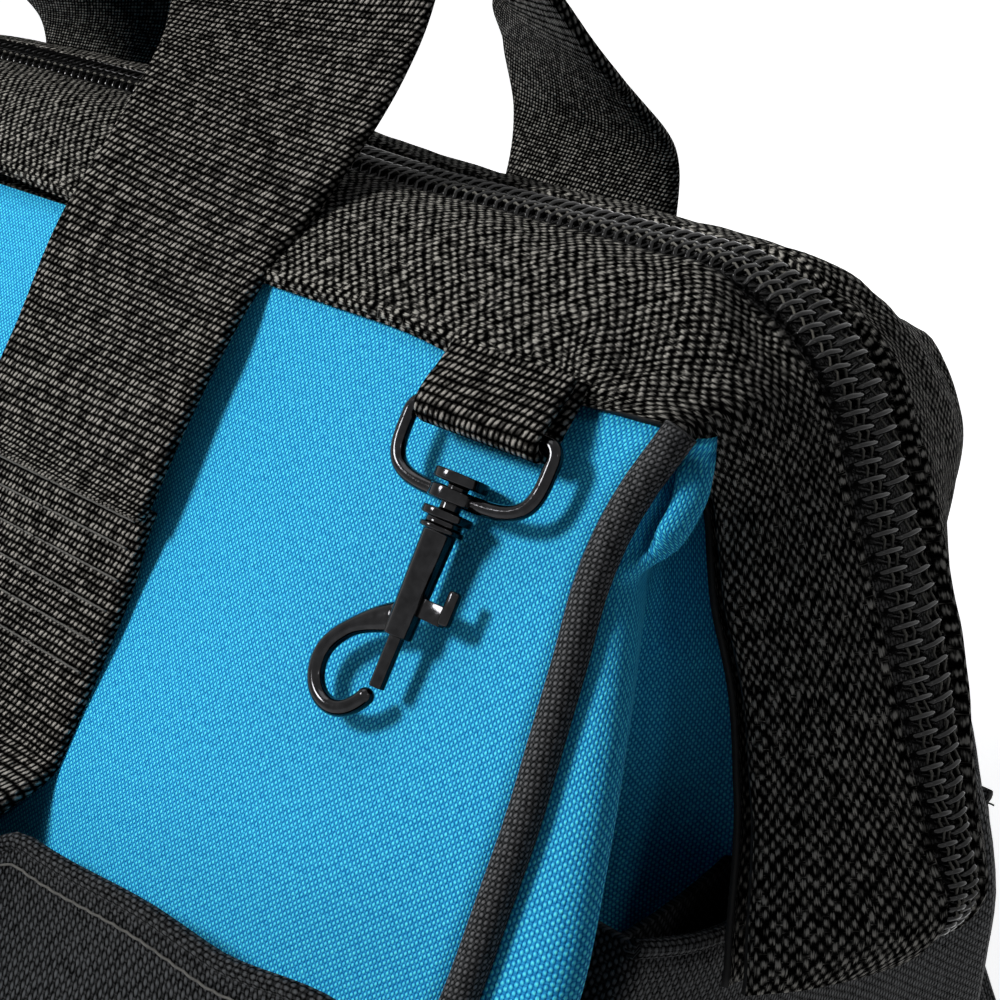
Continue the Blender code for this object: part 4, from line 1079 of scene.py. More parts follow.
STITCH_ROWS = (-0.0230, -0.0185, -0.0140, -0.0095, -0.0050, -0.0012)
for side, label in SIDES:
    for hand, x in (("left", -STRAP_X), ("right", STRAP_X)):
        for number, below in enumerate(STITCH_ROWS):
            reach = STITCH + below
            ends = []
            for edge in (-1, 1):
                spot = (x + edge * (WEB_WIDTH / 2 - 0.0012)) * -side
                ends.append(on_side(spot, reach, strap_out(reach) + WEB_THICK / 2, side))
            out = (on_side(0, reach, 1, side) - on_side(0, reach, 0, side)).normalized()
            name = f"{label}_{hand}_stitches_{number + 1}"
            stitch_row(name, functools.partial(Vector.lerp, *ends), WEB_WIDTH, out, label + "_mouth", THREAD)
print("Stitch rows:", 4 * len(STITCH_ROWS))

# %% Piping
PIPING_OUT = 0.0008
PIPING_RADIUS = 0.0021
PIPING_STEPS = 60
PIPING_LENGTH = PANEL_TOP - 0.0012 - POCKET_FOOT
for side, label in SIDES:
    for sign, hand in ((-1, "left"), (1, "right")):
        line = []
        for step in range(PIPING_STEPS + 1):
            reach = POCKET_FOOT + PIPING_LENGTH * step / PIPING_STEPS
            x = end_line(side_line(reach)[1])
            line.append(on_side(sign * -side * x, reach, PIPING_OUT, side))
        piping = tube(
            label + "_" + hand + "_piping",
            line,
            PIPING_RADIUS,
            12,
            PIPING_CLOTH,
            replace=(label + "_" + hand + "_lower_piping", label + "_" + hand + "_upper_piping"),
        )
        bend_at_fold(piping)
print("Piping runs up both ends of the panels")

# %% Handles
HINGE = (-0.050274, 0.205572)
FRONT_LINE = (
    (0.0720, HINGE[0], HINGE[1], 0),
    (0.0722, -0.0418, 0.2210, 0),
    (0.0728, -0.0330, 0.2365, 4),
    (0.0738, -0.0206, 0.2520, 10),
    (0.0736, -0.0111, 0.2650, 14),
    (0.0712, -0.0060, 0.2770, 24),
    (0.0630, -0.0046, 0.2915, 48),
    (0.0470, -0.0050, 0.3030, 70),
    (0.0280, -0.0045, 0.3100, 84),
)
FRONT_TOP = (0.0, -0.0045, 0.3120)
BACK_LINE = (
    (0.0720, HINGE[0], HINGE[1], 0),
    (0.0722, -0.0560, 0.2210, 2),
    (0.0724, -0.0604, 0.2360, 6),
    (0.0724, -0.0600, 0.2480, 10),
    (0.0716, -0.0530, 0.2590, 22),
    (0.0698, -0.0460, 0.2690, 32),
    (0.0632, -0.0420, 0.2840, 52),
    (0.0460, -0.0410, 0.2960, 76),
    (0.0280, -0.0410, 0.3030, 86),
)
BACK_TOP = (0.0, -0.0410, 0.3050)


def loop_stations(line, top, fine):
    """(point, turn, length so far) along a handle, on a smooth curve through its points."""
    right_leg = [(Vector(row[:3]), math.radians(row[3])) for row in line]
    left_leg = [(Vector((-p.x, p.y, p.z)), math.pi - turn) for p, turn in reversed(right_leg)]
    coarse = right_leg + [(Vector(top), math.pi / 2)] + left_leg
    stations = []
    last = len(coarse) - 1
    for i in range(last):
        window = [coarse[min(max(k, 0), last)] for k in (i - 1, i, i + 1, i + 2)]
        for step in range(fine):
            t = step / fine
            weights = (
                (2 * t * t - t**3 - t) / 2,
                (3 * t**3 - 5 * t * t + 2) / 2,
                (4 * t * t - 3 * t**3 + t) / 2,
                (t**3 - t * t) / 2,
            )
            point = sum((p * w for w, (p, _) in zip(weights, window)), Vector())
            stations.append((point, sum(a * w for w, (_, a) in zip(weights, window))))
    stations.append(coarse[-1])
    reach = 0.0
    placed = []
    for i, (point, turn) in enumerate(stations):
        reach += (point - stations[max(i - 1, 0)][0]).length
        placed.append((point, turn, reach))
    return placed


def handle_loop(name, line, top, side, body, node):
    """Webbing laid through a handle's stations, a little cupped and wavy between its feet."""
    stations = loop_stations(line, top, 12)
    last = len(stations) - 1
    length = stations[-1][2]

    def lay_loop(across, along):
        place = along / length * last
        i = min(int(place), last - 1)
        (before, lean, _), (after, lean_after, _) = stations[i], stations[i + 1]
        point = before.lerp(after, place - i)
        turn = lean + (lean_after - lean) * (place - i)
        low, high = max(i - 1, 0), min(i + 2, last)
        back_way = stations[i + 1][0] - stations[low][0]
        ahead = stations[high][0] - stations[i][0]
        tangent = back_way.normalized().lerp(ahead.normalized(), place - i).normalized()
        width = Vector((math.cos(turn), math.sin(turn), 0.0))
        width = (width - tangent * width.dot(tangent)).normalized()
        normal = tangent.cross(width)
        middle = smooth(along, 0.0, 0.05) * smooth(length - along, 0.0, 0.05)
        cup = 0.0011 * middle * (1 - (2 * across / WEB_WIDTH) ** 2)
        wave = 0.0007 * middle * noise.noise(Vector((across * 30, along * 22, 5.0)))
        place = point + width * across + normal * (cup + wave)
        return place if side < 0 else Vector((-place.x, -place.y, place.z))

    return web(name, WEB_WIDTH, length, last, lay_loop, WEB_THICK, body, (node,), STITCH - POCKET_FOOT)


handle_loop("front_handle_webbing", FRONT_LINE, FRONT_TOP, -1, "front_handle", "front_handle_loop")
handle_loop("back_handle_webbing", BACK_LINE, BACK_TOP, 1, "back_handle", "back_handle_loop")
print("Each handle is", round(1000 * loop_stations(FRONT_LINE, FRONT_TOP, 12)[-1][2]), "mm long")

# %% [markdown]
# ## Pockets
# Black pockets run along both long sides, open at the rim, with a turned hem, and are sewn down under
# each strap. A shorter pocket hangs on each end.

# %% Pockets on the long sides
POCKET_OUT = 0.0108
POCKET_RIM = LOWER - 0.0020
POCKET_WRAP = 0.0150
POCKET_WALL = 0.0014
HEM_RADIUS = 0.0012
HEM_STEPS = 120
RIM_STAND = 0.0030
RIM_BESIDE_STRAPS = 0.0048
BACK_RIM_FALL = 0.0250


def rim_lift(x, side):
    """The rim is held down under the straps and stands up beside them; towards the piping it climbs
    in front and falls behind.
    """
    inside = smooth(0.052 - abs(x), 0.0, 0.012)
    outside = smooth(abs(x), 0.092, 0.103)
    climb = 0.0022 * smooth(abs(x), 0.104, 0.132) + 0.0034 * smooth(abs(x), 0.140, 0.162)
    if side > 0:
        climb = -BACK_RIM_FALL * smooth(abs(x), 0.120, 0.165)
    return RIM_STAND + RIM_BESIDE_STRAPS * (inside + outside) + climb


def pocket_face(x, along, side):
    """The pocket's outer cloth: it swells between the straps and is drawn in under them."""
    between = min(abs(abs(x) - STRAP_X) / 0.022, 1.0)
    swell = 0.0006 * noise.noise(Vector((x * 20, along * 20, 9.0)))
    along += rim_lift(x, side) * smooth(along, POCKET_RIM - 0.030, POCKET_RIM)
    past = max(along - LOWER + 0.010, 0.0)
    out = POCKET_OUT - 0.0004 - 0.0024 * smooth(along, POCKET_RIM - 0.020, POCKET_RIM)
    place = on_side(x, along - past, out + swell * between, side)
    return place + Vector((0, -side * math.sin(LOWER_LEAN), math.cos(LOWER_LEAN))) * past


def pocket_sheet(label, side):
    """The pocket's outer cloth, from the tray to the rim, wrapped round both ends of the panel."""
    def lay_pocket(across, along):
        x = min(max(across, -PANEL_HALF), PANEL_HALF)
        tuck = max(abs(across) - PANEL_HALF, 0.0)
        place = pocket_face(x * -side, POCKET_FOOT + along, side)
        inward = on_side(0, POCKET_FOOT + along, 0, side) - on_side(0, POCKET_FOOT + along, 1.0, side)
        return place + inward * tuck

    sheet(
        label + "_pocket_cloth",
        2 * PANEL_HALF + 2 * POCKET_WRAP,
        POCKET_RIM - POCKET_FOOT,
        160,
        40,
        lay_pocket,
        POCKET_CLOTH,
        thick=POCKET_WALL,
        body="shell",
        replace=(label + "_pocket",),
    )


def pocket_parts(label, side):
    """The turned hem along the rim, the floor, and the dividers sewn under the straps."""
    rim = []
    for step in range(HEM_STEPS + 1):
        x = PANEL_HALF * (2 * step / HEM_STEPS - 1)
        rim.append(pocket_face(x, POCKET_RIM - 0.0006, side) + Vector((0, -side * 0.0007, 0)))
    tube(label + "_pocket_hem", rim, HEM_RADIUS, 10, POCKET_CLOTH, body="shell")
    out = (on_side(0, POCKET_FOOT, 1, side) - on_side(0, POCKET_FOOT, 0, side)).normalized()

    def along_hem(share):
        return pocket_face(PANEL_HALF * (2 * share - 1), POCKET_RIM - 0.0034, side)

    stitch_row(label + "_hem_stitches", along_hem, 2 * PANEL_HALF, out, "shell", THREAD)

    def lay_floor(across, along):
        return on_side(across, POCKET_FOOT + 0.0008, along, side)

    floor_width = 2 * PANEL_HALF - 0.004
    sheet(label + "_pocket_floor", floor_width, 0.0100, 60, 3, lay_floor, POCKET_CLOTH, 0.0012, 0.0, "shell")
    for x in (-STRAP_X, STRAP_X):

        def lay_divider(across, along, x=x):
            return on_side(x, POCKET_FOOT + along, across + 0.0052, side)

        hand = "left" if x * side > 0 else "right"
        name = f"{label}_{hand}_pocket_divider"
        height = POCKET_RIM - POCKET_FOOT - 0.002
        sheet(name, 0.0092, height, 3, 20, lay_divider, POCKET_CLOTH, 0.005, 0.0, "shell")


for side, label in SIDES:
    pocket_sheet(label, side)
    pocket_parts(label, side)
print("Long-side pockets are", round(1000 * (POCKET_RIM - POCKET_FOOT)), "mm tall")

# %% End walls and their pockets
END_X = PANEL_HALF + 0.0003 + 0.0026 - 0.0012
END_FOOT = 0.0035
END_WIDTH = 0.190
END_HEIGHT = 0.1565
TRAY_TOP = 0.0303
END_POCKET_HALF = 0.0455
END_POCKET_TOP = 0.1760
END_POCKET_DEEP = 0.0082
END_RIM_RUN = 0.030
END_RIM_WIDENING_SHARE = 0.34
END_WIDENING_PER_METRE = 3.2


def end_wall(label, sign):
    """The blue wall between the two long sides, as wide as they stand apart at each height."""

    def lay_end(across, along):
        z = END_FOOT + along
        reach = (FOOT[0] - 0.0053) - (z - FOOT[1]) * math.tan(LOWER_LEAN)
        y = across / (END_WIDTH / 2) * reach
        return drawn_in(Vector((sign * (END_X + 0.0015), y * sign, z)))

    sheet(
        label + "_end_cloth",
        END_WIDTH,
        END_HEIGHT,
        40,
        30,
        lay_end,
        BLUE_CLOTH,
        0.0028,
        0.0,
        "shell",
        (label + "_end_panel",),
    )


def end_pocket(label, sign):
    """The pocket on an end: its cloth, its hem and its back; it widens downwards and its rim dips."""
    half, top, deep = END_POCKET_HALF, END_POCKET_TOP, END_POCKET_DEEP
    near = END_X + 0.0033
    perimeter = 2 * half + 2 * deep

    def rim_sag(y):
        return 0.0050 - 0.0095 * (y / half) ** 2

    def widen(z):
        near_rim = END_RIM_WIDENING_SHARE * smooth(top - z, 0.0, END_RIM_RUN)
        return 1 + near_rim + END_WIDENING_PER_METRE * max(top - z - END_RIM_RUN, 0.0)

    def lay_end_pocket(across, along):
        z = TRAY_TOP + 0.0003 + along
        side_run = max(abs(across) - half, 0.0)
        y = min(max(across, -half), half) * widen(z)
        sway = smooth(z, top - 0.04, top)
        sag = sway * rim_sag(y)
        out = deep - side_run + 0.0006 * noise.noise(Vector((across * 40, along * 30, 2.0)))
        return drawn_in(Vector((sign * (near + out), y * sign, z - sag)))

    sheet(
        label + "_end_pocket_cloth",
        perimeter,
        top - TRAY_TOP - 0.0006,
        56,
        40,
        lay_end_pocket,
        POCKET_CLOTH,
        POCKET_WALL,
        -1.0,
        "shell",
        (label + "_end_pocket",),
    )
    steps = 40
    rim = []
    for step in range(steps + 1):
        y = half * (2 * step / steps - 1)
        z = top - 0.0006 - rim_sag(y)
        rim.append(drawn_in(Vector((sign * (near + deep - 0.0007), y, z))))
    tube(label + "_end_pocket_hem", rim, HEM_RADIUS, 10, POCKET_CLOTH, body="shell", side=(1, 0, 0))

    def lay_back(across, along):
        z = TRAY_TOP + 0.0003 + along
        return drawn_in(Vector((sign * (near + 0.0006), across * sign * widen(z), z)))

    name = label + "_end_pocket_back"
    sheet(name, 2 * half, top - TRAY_TOP - 0.001, 20, 30, lay_back, POCKET_CLOTH, 0.0010, 0.0, "shell")


for label, sign in (("right", 1), ("left", -1)):
    end_wall(label, sign)
    end_pocket(label, sign)
print("End walls and pockets are in place")

# %% [markdown]
# ## Gussets
# Between the piping and each frame leg the end's blue cloth folds: a roll beside the piping, then a
# tuck that runs back to the leg, deepest low down, where the bag is widest. Each height has its own
# section, and the table below gives how far its roll stands out, with a crease near the top. Points go
# evenly along each section, so the weave isn't stretched.


# %% Gusset folds
def curve_through(points, share):
    """A point on the smooth curve through given points, share 0 to 1."""
    last = len(points) - 1
    place = min(share * last, last - 1e-9)
    i = int(place)
    t = place - i
    a, b, c, d = (points[min(max(k, 0), last)] for k in (i - 1, i, i + 1, i + 2))
    bowed = (2 * a - 5 * b + 4 * c - d) * t * t
    return 0.5 * ((2 * b) + (c - a) * t + bowed + (3 * b - a - 3 * c + d) * t**3)


GUSSET_FOOT = 0.1588
GUSSET_TOP = 0.2330
GUSSET_WIDTH = 0.056
GUSSET_HEIGHT = 0.075
GUSSET_WALL = 0.0005
BACK_FULLNESS = 0.6
SECTION_STEPS = 80
# (height, distance from the middle) of the gusset's roll, which a crease narrows near 0.2183
ROLL_LINE = (
    (0.1585, 0.1716),
    (0.1650, 0.1764),
    (0.1720, 0.1796),
    (0.1780, 0.1802),
    (0.1925, 0.1771),
    (0.2010, 0.1744),
    (0.2086, 0.1716),
    (0.2143, 0.1694),
    (0.2164, 0.1684),
    (0.2183, 0.1677),
    (0.2200, 0.1688),
    (0.2222, 0.1710),
    (0.2253, 0.1721),
    (0.2280, 0.1724),
    (0.2325, 0.1717),
)


@functools.lru_cache(None)
def gusset_section(rise, fullness):
    """Points, evenly spaced along the cloth, from the piping over the roll and behind it to the leg.

    rise is 0 at the end wall and 1 at the band; fullness is how far the roll stands out, 1 in front.
    """
    z = GUSSET_FOOT + (GUSSET_TOP - GUSSET_FOOT) * rise
    panel_y = -FOLD[0] + (z - FOLD[1]) * math.tan(UPPER_LEAN)
    leg_x = CORNER_X + (ZIP_Z - max(z, 0.180)) * math.tan(LEG_LEAN)
    inner_x = leg_x - 0.0095 / math.cos(LEG_LEAN)
    low = 1 - rise
    start = end_line(z) + 0.0012 - 0.0026 * smooth(z, 0.2265, 0.2325)
    under = smooth(z, 0.2308, 0.2335)
    roll = start + (through(ROLL_LINE, z) - start) * fullness - 0.0026 * under
    gap = smooth(z, 0.2198, 0.2250)
    panel_y += 0.0040 * under
    near = start + (roll - start) * 0.45 * (1 - gap) + 0.0012 * gap
    flat = start + (roll - start) * (0.80 - 0.28 * gap)
    tuck = Vector((start - 0.0030 - 0.0120 * low, panel_y + 0.0190 + 0.0040 * low))
    points = [
        Vector((start, panel_y + 0.0006)),
        Vector((near, panel_y + 0.0010 + 0.0042 * gap)),
        Vector((flat, panel_y + 0.0016 - 0.0004 * gap)),
        Vector((roll, panel_y + 0.0036)),
        Vector((roll - 0.0016, panel_y + 0.0072)),
        tuck,
        Vector((min(inner_x, start + 0.004) * 0.5 + tuck.x * 0.5, max(panel_y + 0.0270, -0.0200))),
        Vector((min(inner_x, start + 0.006), -0.0110)),
    ]
    finest = 2 * SECTION_STEPS
    fine = [curve_through(points, i / finest) for i in range(finest + 1)]
    reach = [0.0]
    for a, b in zip(fine, fine[1:]):
        reach.append(reach[-1] + (b - a).length)
    even, k = [], 0
    for i in range(SECTION_STEPS + 1):
        want = reach[-1] * i / SECTION_STEPS
        while k < finest - 1 and reach[k + 1] < want:
            k += 1
        even.append(fine[k].lerp(fine[k + 1], (want - reach[k]) / (reach[k + 1] - reach[k])))
    return even


def gusset_point(share, rise, fullness):
    """Across from the piping (0) to the leg (1), and up from the end wall (0) to the band (1)."""
    even = gusset_section(round(rise, 6), fullness)
    place = min(max(share, 0.0), 1.0) * SECTION_STEPS
    i = min(int(place), SECTION_STEPS - 1)
    spot = even[i].lerp(even[i + 1], place - i)
    ripple = noise.noise(Vector((share * 3.0, rise * 4.0, 4.0))) * 0.0008 * math.sin(math.pi * share)
    return Vector((spot.x + ripple, spot.y, GUSSET_FOOT + (GUSSET_TOP - GUSSET_FOOT) * rise))


for side, label in SIDES:
    for sign, hand in ((1, "right"), (-1, "left")):

        def lay_gusset(across, along, side=side, sign=sign):
            fullness = 1.0 if side < 0 else BACK_FULLNESS
            place = gusset_point(across / GUSSET_WIDTH + 0.5, along / GUSSET_HEIGHT, fullness)
            return drawn_in(Vector((place.x * sign * -side, place.y * -side, place.z)))

        gusset = sheet(
            label + "_" + hand + "_gusset_cloth",
            GUSSET_WIDTH,
            GUSSET_HEIGHT,
            72,
            96,
            lay_gusset,
            BLUE_CLOTH,
            GUSSET_WALL,
            0.0,
            replace=(label + "_" + hand + "_gusset",),
        )
        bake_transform(gusset)
print("Four gussets join the ends to the mouth")

# %% [markdown]
# ## Tab and snap hook
# The tab is a loop of narrow webbing sewn under the band. It holds a D-ring, whose boss carries the
# hook's swivel head. The hook is one casting: collars, a barrel, and a bend that a spring bolt closes.

# %% The tab's leaning frame
LEAN_UP = Vector((0, math.sin(UPPER_LEAN), math.cos(UPPER_LEAN)))
LEAN_OUT = Vector((0, -math.cos(UPPER_LEAN), math.sin(UPPER_LEAN)))
TAB_TOP = Vector((0.144, -BAND_FOOT[0], BAND_FOOT[1]))
TAB_WIDTH = 0.0203
BAR_UP = -0.0079
TAB_THICK = 0.0015
RING_OUT = 0.00385
RING_DROP = 0.0097
RING_WIRE = 0.0010


def in_lean(a, out, up):
    return TAB_TOP + Vector((a, 0, 0)) + LEAN_OUT * out + LEAN_UP * up


# %% Tab
def tab_loop():
    """The webbing comes out from under the band, down outside the ring's bar, round it and back up."""
    radius = RING_WIRE + 0.0001 + TAB_THICK / 2
    down = -BAR_UP + 0.0004
    turn = math.pi * radius
    length = 2 * down + turn

    def lay_tab(across, along):
        wave = 0.0003 * noise.noise(Vector((across * 60, along * 60, 6.0)))
        if along < down:
            rise = 0.0004 - along
            lean_in = 0.0022 * smooth(rise - BAR_UP, 0.0, -BAR_UP)
            spot = (RING_OUT + radius - lean_in + wave, rise)
        elif along < down + turn:
            angle = (along - down) / radius
            spot = (RING_OUT + radius * math.cos(angle), BAR_UP - radius * math.sin(angle))
        else:
            rise = along - down - turn
            lean_in = (RING_OUT - radius - TAB_THICK * 0.7) * smooth(rise, 0.0, -BAR_UP)
            spot = (RING_OUT - radius - lean_in, BAR_UP + rise)
        return in_lean(across, spot[0], spot[1])

    web("tab_loop", TAB_WIDTH, length, 60, lay_tab, TAB_THICK, "front_mouth", ("tab_webbing",))


tab_loop()
print("The tab is", round(TAB_WIDTH * 1000, 1), "mm wide")


# %% D-ring with its boss
def place_lean(bm, up):
    """Moves a piece made about the origin, +Z up, to its place in the ring's plane."""
    turn = Matrix(((1, 0, 0), (0, -LEAN_OUT.y, LEAN_UP.y), (0, -LEAN_OUT.z, LEAN_UP.z))).to_4x4()
    where = Matrix.Translation(in_lean(0.0, RING_OUT, up))
    bmesh.ops.transform(bm, matrix=where @ turn, verts=bm.verts)


def closed_tube(points, radius, sides):
    """A ring of round wire through points in the XZ plane."""
    bm = bmesh.new()
    bmesh.ops.create_grid(bm, x_segments=sides, y_segments=len(points), size=0.5)
    count = len(points)
    for vert in bm.verts:
        i = round((vert.co.y + 0.5) * count) % count
        turn = (vert.co.x + 0.5) * math.tau
        tangent = (Vector(points[(i + 1) % count]) - Vector(points[i - 1])).normalized()
        out = Vector((0, 1, 0))
        up = tangent.cross(out)
        vert.co = Vector(points[i]) + (out * math.cos(turn) + up * math.sin(turn)) * radius
    bmesh.ops.remove_doubles(bm, verts=bm.verts, dist=MERGE)
    bmesh.ops.recalc_face_normals(bm, faces=bm.faces)
    return bm


def lathe(profile, segments=40):
    """A turned piece from (radius, height) pairs, closed on its axis."""
    bm = bmesh.new()
    bmesh.ops.create_grid(bm, x_segments=segments, y_segments=len(profile) - 1, size=0.5)
    for vert in bm.verts:
        radius, height = profile[round((vert.co.y + 0.5) * (len(profile) - 1))]
        turn = (vert.co.x + 0.5) * math.tau
        vert.co = Vector((radius * math.cos(turn), radius * math.sin(turn), height))
    bmesh.ops.remove_doubles(bm, verts=bm.verts, dist=MERGE)
    bmesh.ops.dissolve_degenerate(bm, edges=bm.edges, dist=MERGE)
    bmesh.ops.recalc_face_normals(bm, faces=bm.faces)
    return bm


def join_into(bm, other):
    """Adds another bmesh to this one."""
    mesh = bpy.data.meshes.new("joined")
    other.to_mesh(mesh)
    other.free()
    bm.from_mesh(mesh)
    bpy.data.meshes.remove(mesh)


def rounded(steps, ease=0.00022):
    """The same turned profile with each corner eased over a short length."""
    eased = [steps[0]]
    for before, here, after in zip(steps, steps[1:], steps[2:]):
        here, before, after = Vector(here), Vector(before), Vector(after)
        for share in (0.0, 0.3, 0.7, 1.0):
            back = min(ease, (here - before).length * 0.45)
            on = min(ease, (after - here).length * 0.45)
            first = here + (before - here).normalized() * back
            second = here + (after - here).normalized() * on
            low = first.lerp(here, share)
            high = here.lerp(second, share)
            eased.append(tuple(low.lerp(high, share)))
    return eased + [steps[-1]]


RING_HALF = 0.01195
SHOULDER = 0.0018


def ring_line():
    """The ring in its own plane: a straight bar, small shoulders, then a deep squarish bow."""
    points = []
    for corner, start in ((-1, 180), (1, 90)):
        for step in range(7):
            angle = math.radians(start - 90 * step / 6)
            x = corner * (RING_HALF - SHOULDER) + SHOULDER * math.cos(angle)
            points.append(Vector((x, 0, SHOULDER * (math.sin(angle) - 1))))
    for step in range(1, 60):
        angle = math.pi * step / 60
        c = math.cos(angle)
        x = RING_HALF * math.copysign(abs(c) ** 0.5, c)
        points.append(Vector((x, 0, -SHOULDER - (RING_DROP - SHOULDER) * math.sin(angle) ** 0.5)))
    return points


BOSS_RADIUS = 0.0033
BOSS_BORE = 0.0015
BOSS_HALF = 0.00080
BOSS = ((BOSS_BORE, BOSS_HALF), (BOSS_RADIUS, BOSS_HALF), (BOSS_RADIUS, -BOSS_HALF), (BOSS_BORE, -BOSS_HALF))
ring_bm = closed_tube(ring_line(), RING_WIRE, 14)
boss_bm = lathe(rounded(BOSS))
bmesh.ops.translate(boss_bm, vec=(0, 0, -RING_DROP), verts=boss_bm.verts)
join_into(ring_bm, boss_bm)
place_lean(ring_bm, BAR_UP)
finish_piece(ring_bm, "d_ring_wire", HARDWARE, body="ring", replace=("d_ring",))
print("The D-ring's wire is", round(2000 * RING_WIRE, 1), "mm thick")

# %% Hook casting
HEAD_RADIUS = 0.0035
BARREL_TOP = -0.0044
BARREL_FOOT = -0.0178
BOLT_END = -0.0243
HOOK_WIRE = 0.0011
ARC_CENTRE = Vector((-0.00565, 0, -0.02415))
ARC_RADIUS = 0.0046


def hook_turned():
    """Head, washer and flange over the tapered barrel, as one turned piece."""
    steps = [
        (0.0, 0.0028),
        (HEAD_RADIUS, 0.0028),
        (HEAD_RADIUS, 0.0015),
        (0.0013, 0.0014),
        (0.0013, -0.0018),
        (0.0032, -0.0019),
        (0.0032, -0.0029),
        (0.0023, -0.0030),
        (0.0023, -0.0037),
        (0.0028, -0.0038),
        (0.0028, BARREL_TOP),
        (0.0021, BARREL_TOP - 0.0001),
        (0.0018, BARREL_FOOT),
        (0.0012, BARREL_FOOT),
        (0.0012, BARREL_FOOT + 0.0030),
        (0.0, BARREL_FOOT + 0.0030),
    ]
    return lathe(rounded(steps))


def bend_of(start, turn, end, steps):
    """Points on the curve from start to end that leaves and arrives along lines through turn."""
    shares = [step / steps for step in range(steps + 1)]
    return [start * (1 - t) ** 2 + turn * 2 * t * (1 - t) + end * t * t for t in shares]


def hook_bend():
    """An arm leaves the barrel in a tall fillet, a round arc follows, and the nose ends by the bolt."""
    arc = []
    for step in range(31):
        angle = math.radians(150 + 155 * step / 30)
        arc.append(ARC_CENTRE + Vector((math.cos(angle), 0, math.sin(angle))) * ARC_RADIUS)
    start = Vector((-0.0010, 0, BARREL_FOOT + 0.0022))
    arm = bend_of(start, Vector((-0.0075, 0, -0.0182)), arc[0], 18)
    nose = bend_of(arc[-1], Vector((-0.0017, 0, -0.0270)), Vector((-0.00105, 0, -0.0258)), 8)
    points = arm[:-1] + arc + nose[1:]
    tall = [HOOK_WIRE + 0.0008 * (1 - smooth(i, 0, 12)) for i in range(len(points))]
    onward = (points[-1] - points[-2]).normalized()
    end = points[-1]
    for k in range(1, 7):
        angle = math.pi / 2 * k / 6
        points.append(end + onward * HOOK_WIRE * math.sin(angle))
        tall.append(HOOK_WIRE * math.cos(angle) + 0.00001)
    last = len(points) - 1
    bm = bmesh.new()
    sides = 18
    bmesh.ops.create_grid(bm, x_segments=sides, y_segments=last, size=0.5)
    for vert in bm.verts:
        i = round((vert.co.y + 0.5) * last)
        turn = (vert.co.x + 0.5) * math.tau
        tangent = (points[min(i + 1, last)] - points[max(i - 1, 0)]).normalized()
        side = Vector((0, 1, 0))
        up = tangent.cross(side)
        wide = min(HOOK_WIRE, tall[i])
        vert.co = points[i] + side * math.cos(turn) * wide + up * math.sin(turn) * tall[i]
    bmesh.ops.remove_doubles(bm, verts=bm.verts, dist=MERGE)
    bmesh.ops.holes_fill(bm, edges=bm.edges, sides=sides + 2)
    bmesh.ops.recalc_face_normals(bm, faces=bm.faces)
    return bm


hook_bm = hook_turned()
join_into(hook_bm, hook_bend())
place_lean(hook_bm, BAR_UP - RING_DROP)
finish_piece(hook_bm, "hook_casting", HARDWARE, body="hook", replace=("hook_body",))
print("The hook's barrel is", round(1000 * (BARREL_TOP - BARREL_FOOT), 1), "mm long")

# %% Spring bolt and its thumb lug
BOLT_RADIUS = 0.0010
BOLT_INSIDE = 0.0028
LUG_Z = -0.0135
LUG_BAR_RADIUS = 0.00085
LUG_BAR_HALF = 0.00215


def ease_edges(bm, ease):
    bmesh.ops.bevel(bm, geom=bm.edges[:], offset=ease, segments=3, affect="EDGES", profile=0.5, material=-1)


def rounded_box(size, middle, ease):
    bm = bmesh.new()
    bmesh.ops.create_cube(bm, size=1.0)
    bmesh.ops.scale(bm, vec=size, verts=bm.verts)
    ease_edges(bm, ease)
    bmesh.ops.translate(bm, vec=middle, verts=bm.verts)
    return bm


bolt_steps = [
    (0.0, BARREL_FOOT + BOLT_INSIDE),
    (BOLT_RADIUS, BARREL_FOOT + BOLT_INSIDE),
    (BOLT_RADIUS, BOLT_END),
    (0.0, BOLT_END),
]
bolt_bm = lathe(rounded(bolt_steps, 0.00012), 28)
join_into(bolt_bm, rounded_box((0.0040, 0.0011, 0.0024), (0.0037, 0, LUG_Z), 0.00012))
lug_steps = [
    (0.0, LUG_BAR_HALF),
    (LUG_BAR_RADIUS, LUG_BAR_HALF),
    (LUG_BAR_RADIUS, -LUG_BAR_HALF),
    (0.0, -LUG_BAR_HALF),
]
lug_bar = lathe(rounded(lug_steps, 0.0004), 20)
bmesh.ops.translate(lug_bar, vec=(0.0059, 0, LUG_Z + 0.0012), verts=lug_bar.verts)
join_into(bolt_bm, lug_bar)
place_lean(bolt_bm, BAR_UP - RING_DROP)
finish_piece(bolt_bm, "bolt_and_lug", HARDWARE, body="bolt", replace=("spring_bolt",))
print("The bolt shows", round(1000 * (BARREL_FOOT - BOLT_END), 1), "mm below the barrel")

# %% [markdown]
# ## Slider and pull
# The slider sits on the chain at the left, past the picture's edge, with a bridge for its pull.

# %% Slider
SLIDER = Vector((-0.1200, 0.0, ZIP_Z + 0.0005))
SLIDER_PLATE = (0.0130, 0.0142, 0.0012)
NOSE_SHARE = 0.72
BRIDGE_WIRE = 0.0009
BRIDGE_HALF = 0.0034
BRIDGE_RISE = 0.0042
PULL_RISE = 0.0032


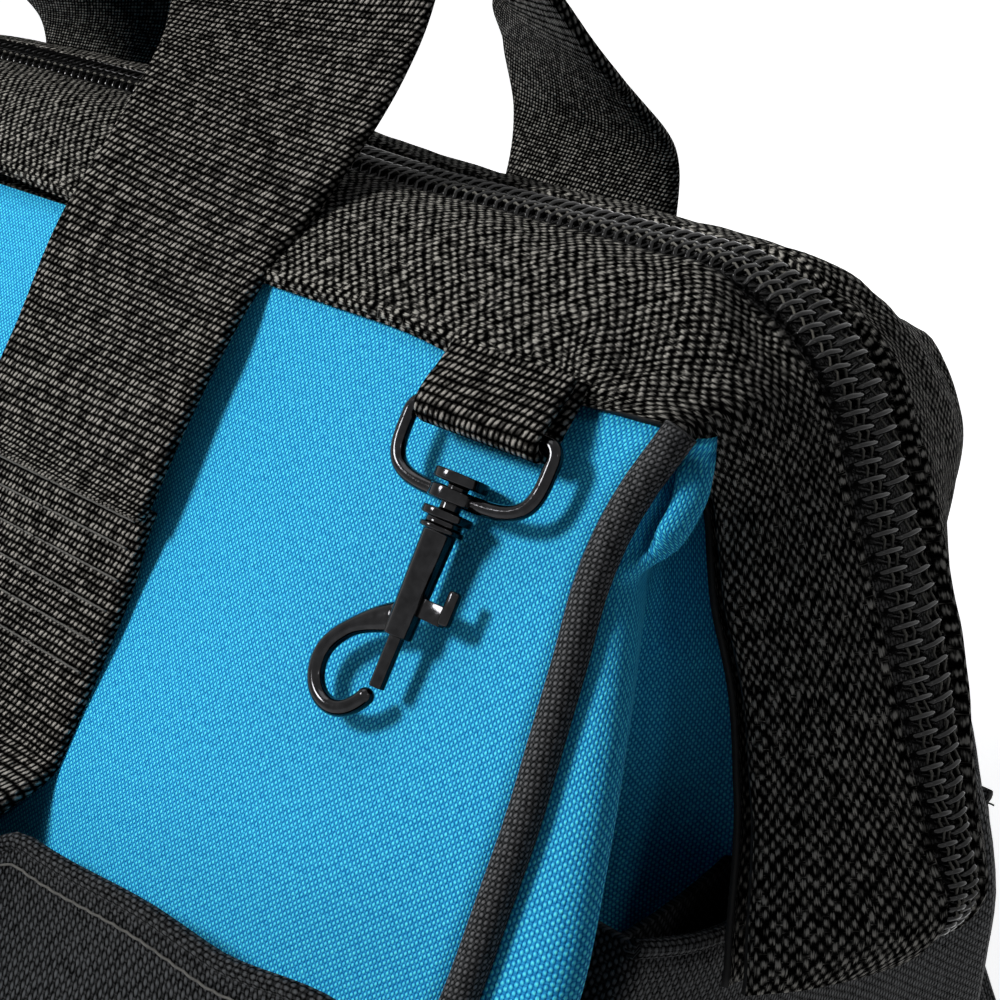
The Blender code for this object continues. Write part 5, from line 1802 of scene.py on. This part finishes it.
def slider_body():
    """A plate narrowed at its nose, with a wall down each side and an arched bridge for the pull."""
    bm = bmesh.new()
    bmesh.ops.create_cube(bm, size=1.0)
    bmesh.ops.scale(bm, vec=SLIDER_PLATE, verts=bm.verts)
    nose = [v for v in bm.verts if v.co.x > 0]
    bmesh.ops.scale(bm, vec=(1, NOSE_SHARE, 1), verts=nose)
    bmesh.ops.translate(bm, vec=(0, 0, 0.0006), verts=bm.verts)
    ease_edges(bm, 0.0004)
    for y in (-0.0065, 0.0065):
        join_into(bm, rounded_box((0.0118, 0.0012, 0.0030), (0, y, -0.0010), 0.0003))
    steps = 14
    arch = []
    for step in range(steps + 1):
        angle = math.pi * step / steps
        arch.append((BRIDGE_HALF * math.cos(angle), 0, 0.0008 + BRIDGE_RISE * math.sin(angle) ** 0.6))
    join_into(bm, tube("bridge", arch, BRIDGE_WIRE, 12, HARDWARE, keep=True))
    bmesh.ops.translate(bm, vec=SLIDER, verts=bm.verts)
    return bm


def pull_plate():
    """A small plate with a sunk eye, and its longer tail."""
    bm = rounded_box((0.0080, 0.0080, 0.0014), (0.0030, 0, 0), 0.0004)
    tail = rounded_box((0.0200, 0.0068, 0.0012), (0.0170, 0, 0), 0.0005)
    eye = [f for f in bm.faces if abs(f.normal.z) > 0.9]
    bmesh.ops.inset_individual(bm, faces=eye, thickness=0.0018, depth=-0.0006)
    join_into(bm, tail)
    bmesh.ops.translate(bm, vec=SLIDER + Vector((0, 0, PULL_RISE)), verts=bm.verts)
    return bm


finish_piece(slider_body(), "slider_casting", HARDWARE, body="slider", replace=("zip_slider",))
finish_piece(pull_plate(), "pull_plate", HARDWARE, body="pull", replace=("zip_pull",))
print("Slider at x =", SLIDER.x)

# %% [markdown]
# ## Hard pieces that keep their solids
# The base tray and its board have the right shape already and only take a finish.

# %% Finishes on CAD pieces
for node, finish in (("base_tray", MOULDED), ("base_board", LINING)):
    for place in bpy.data.objects[node].material_slots:
        place.material = finish
print("Finished the tray and the board")
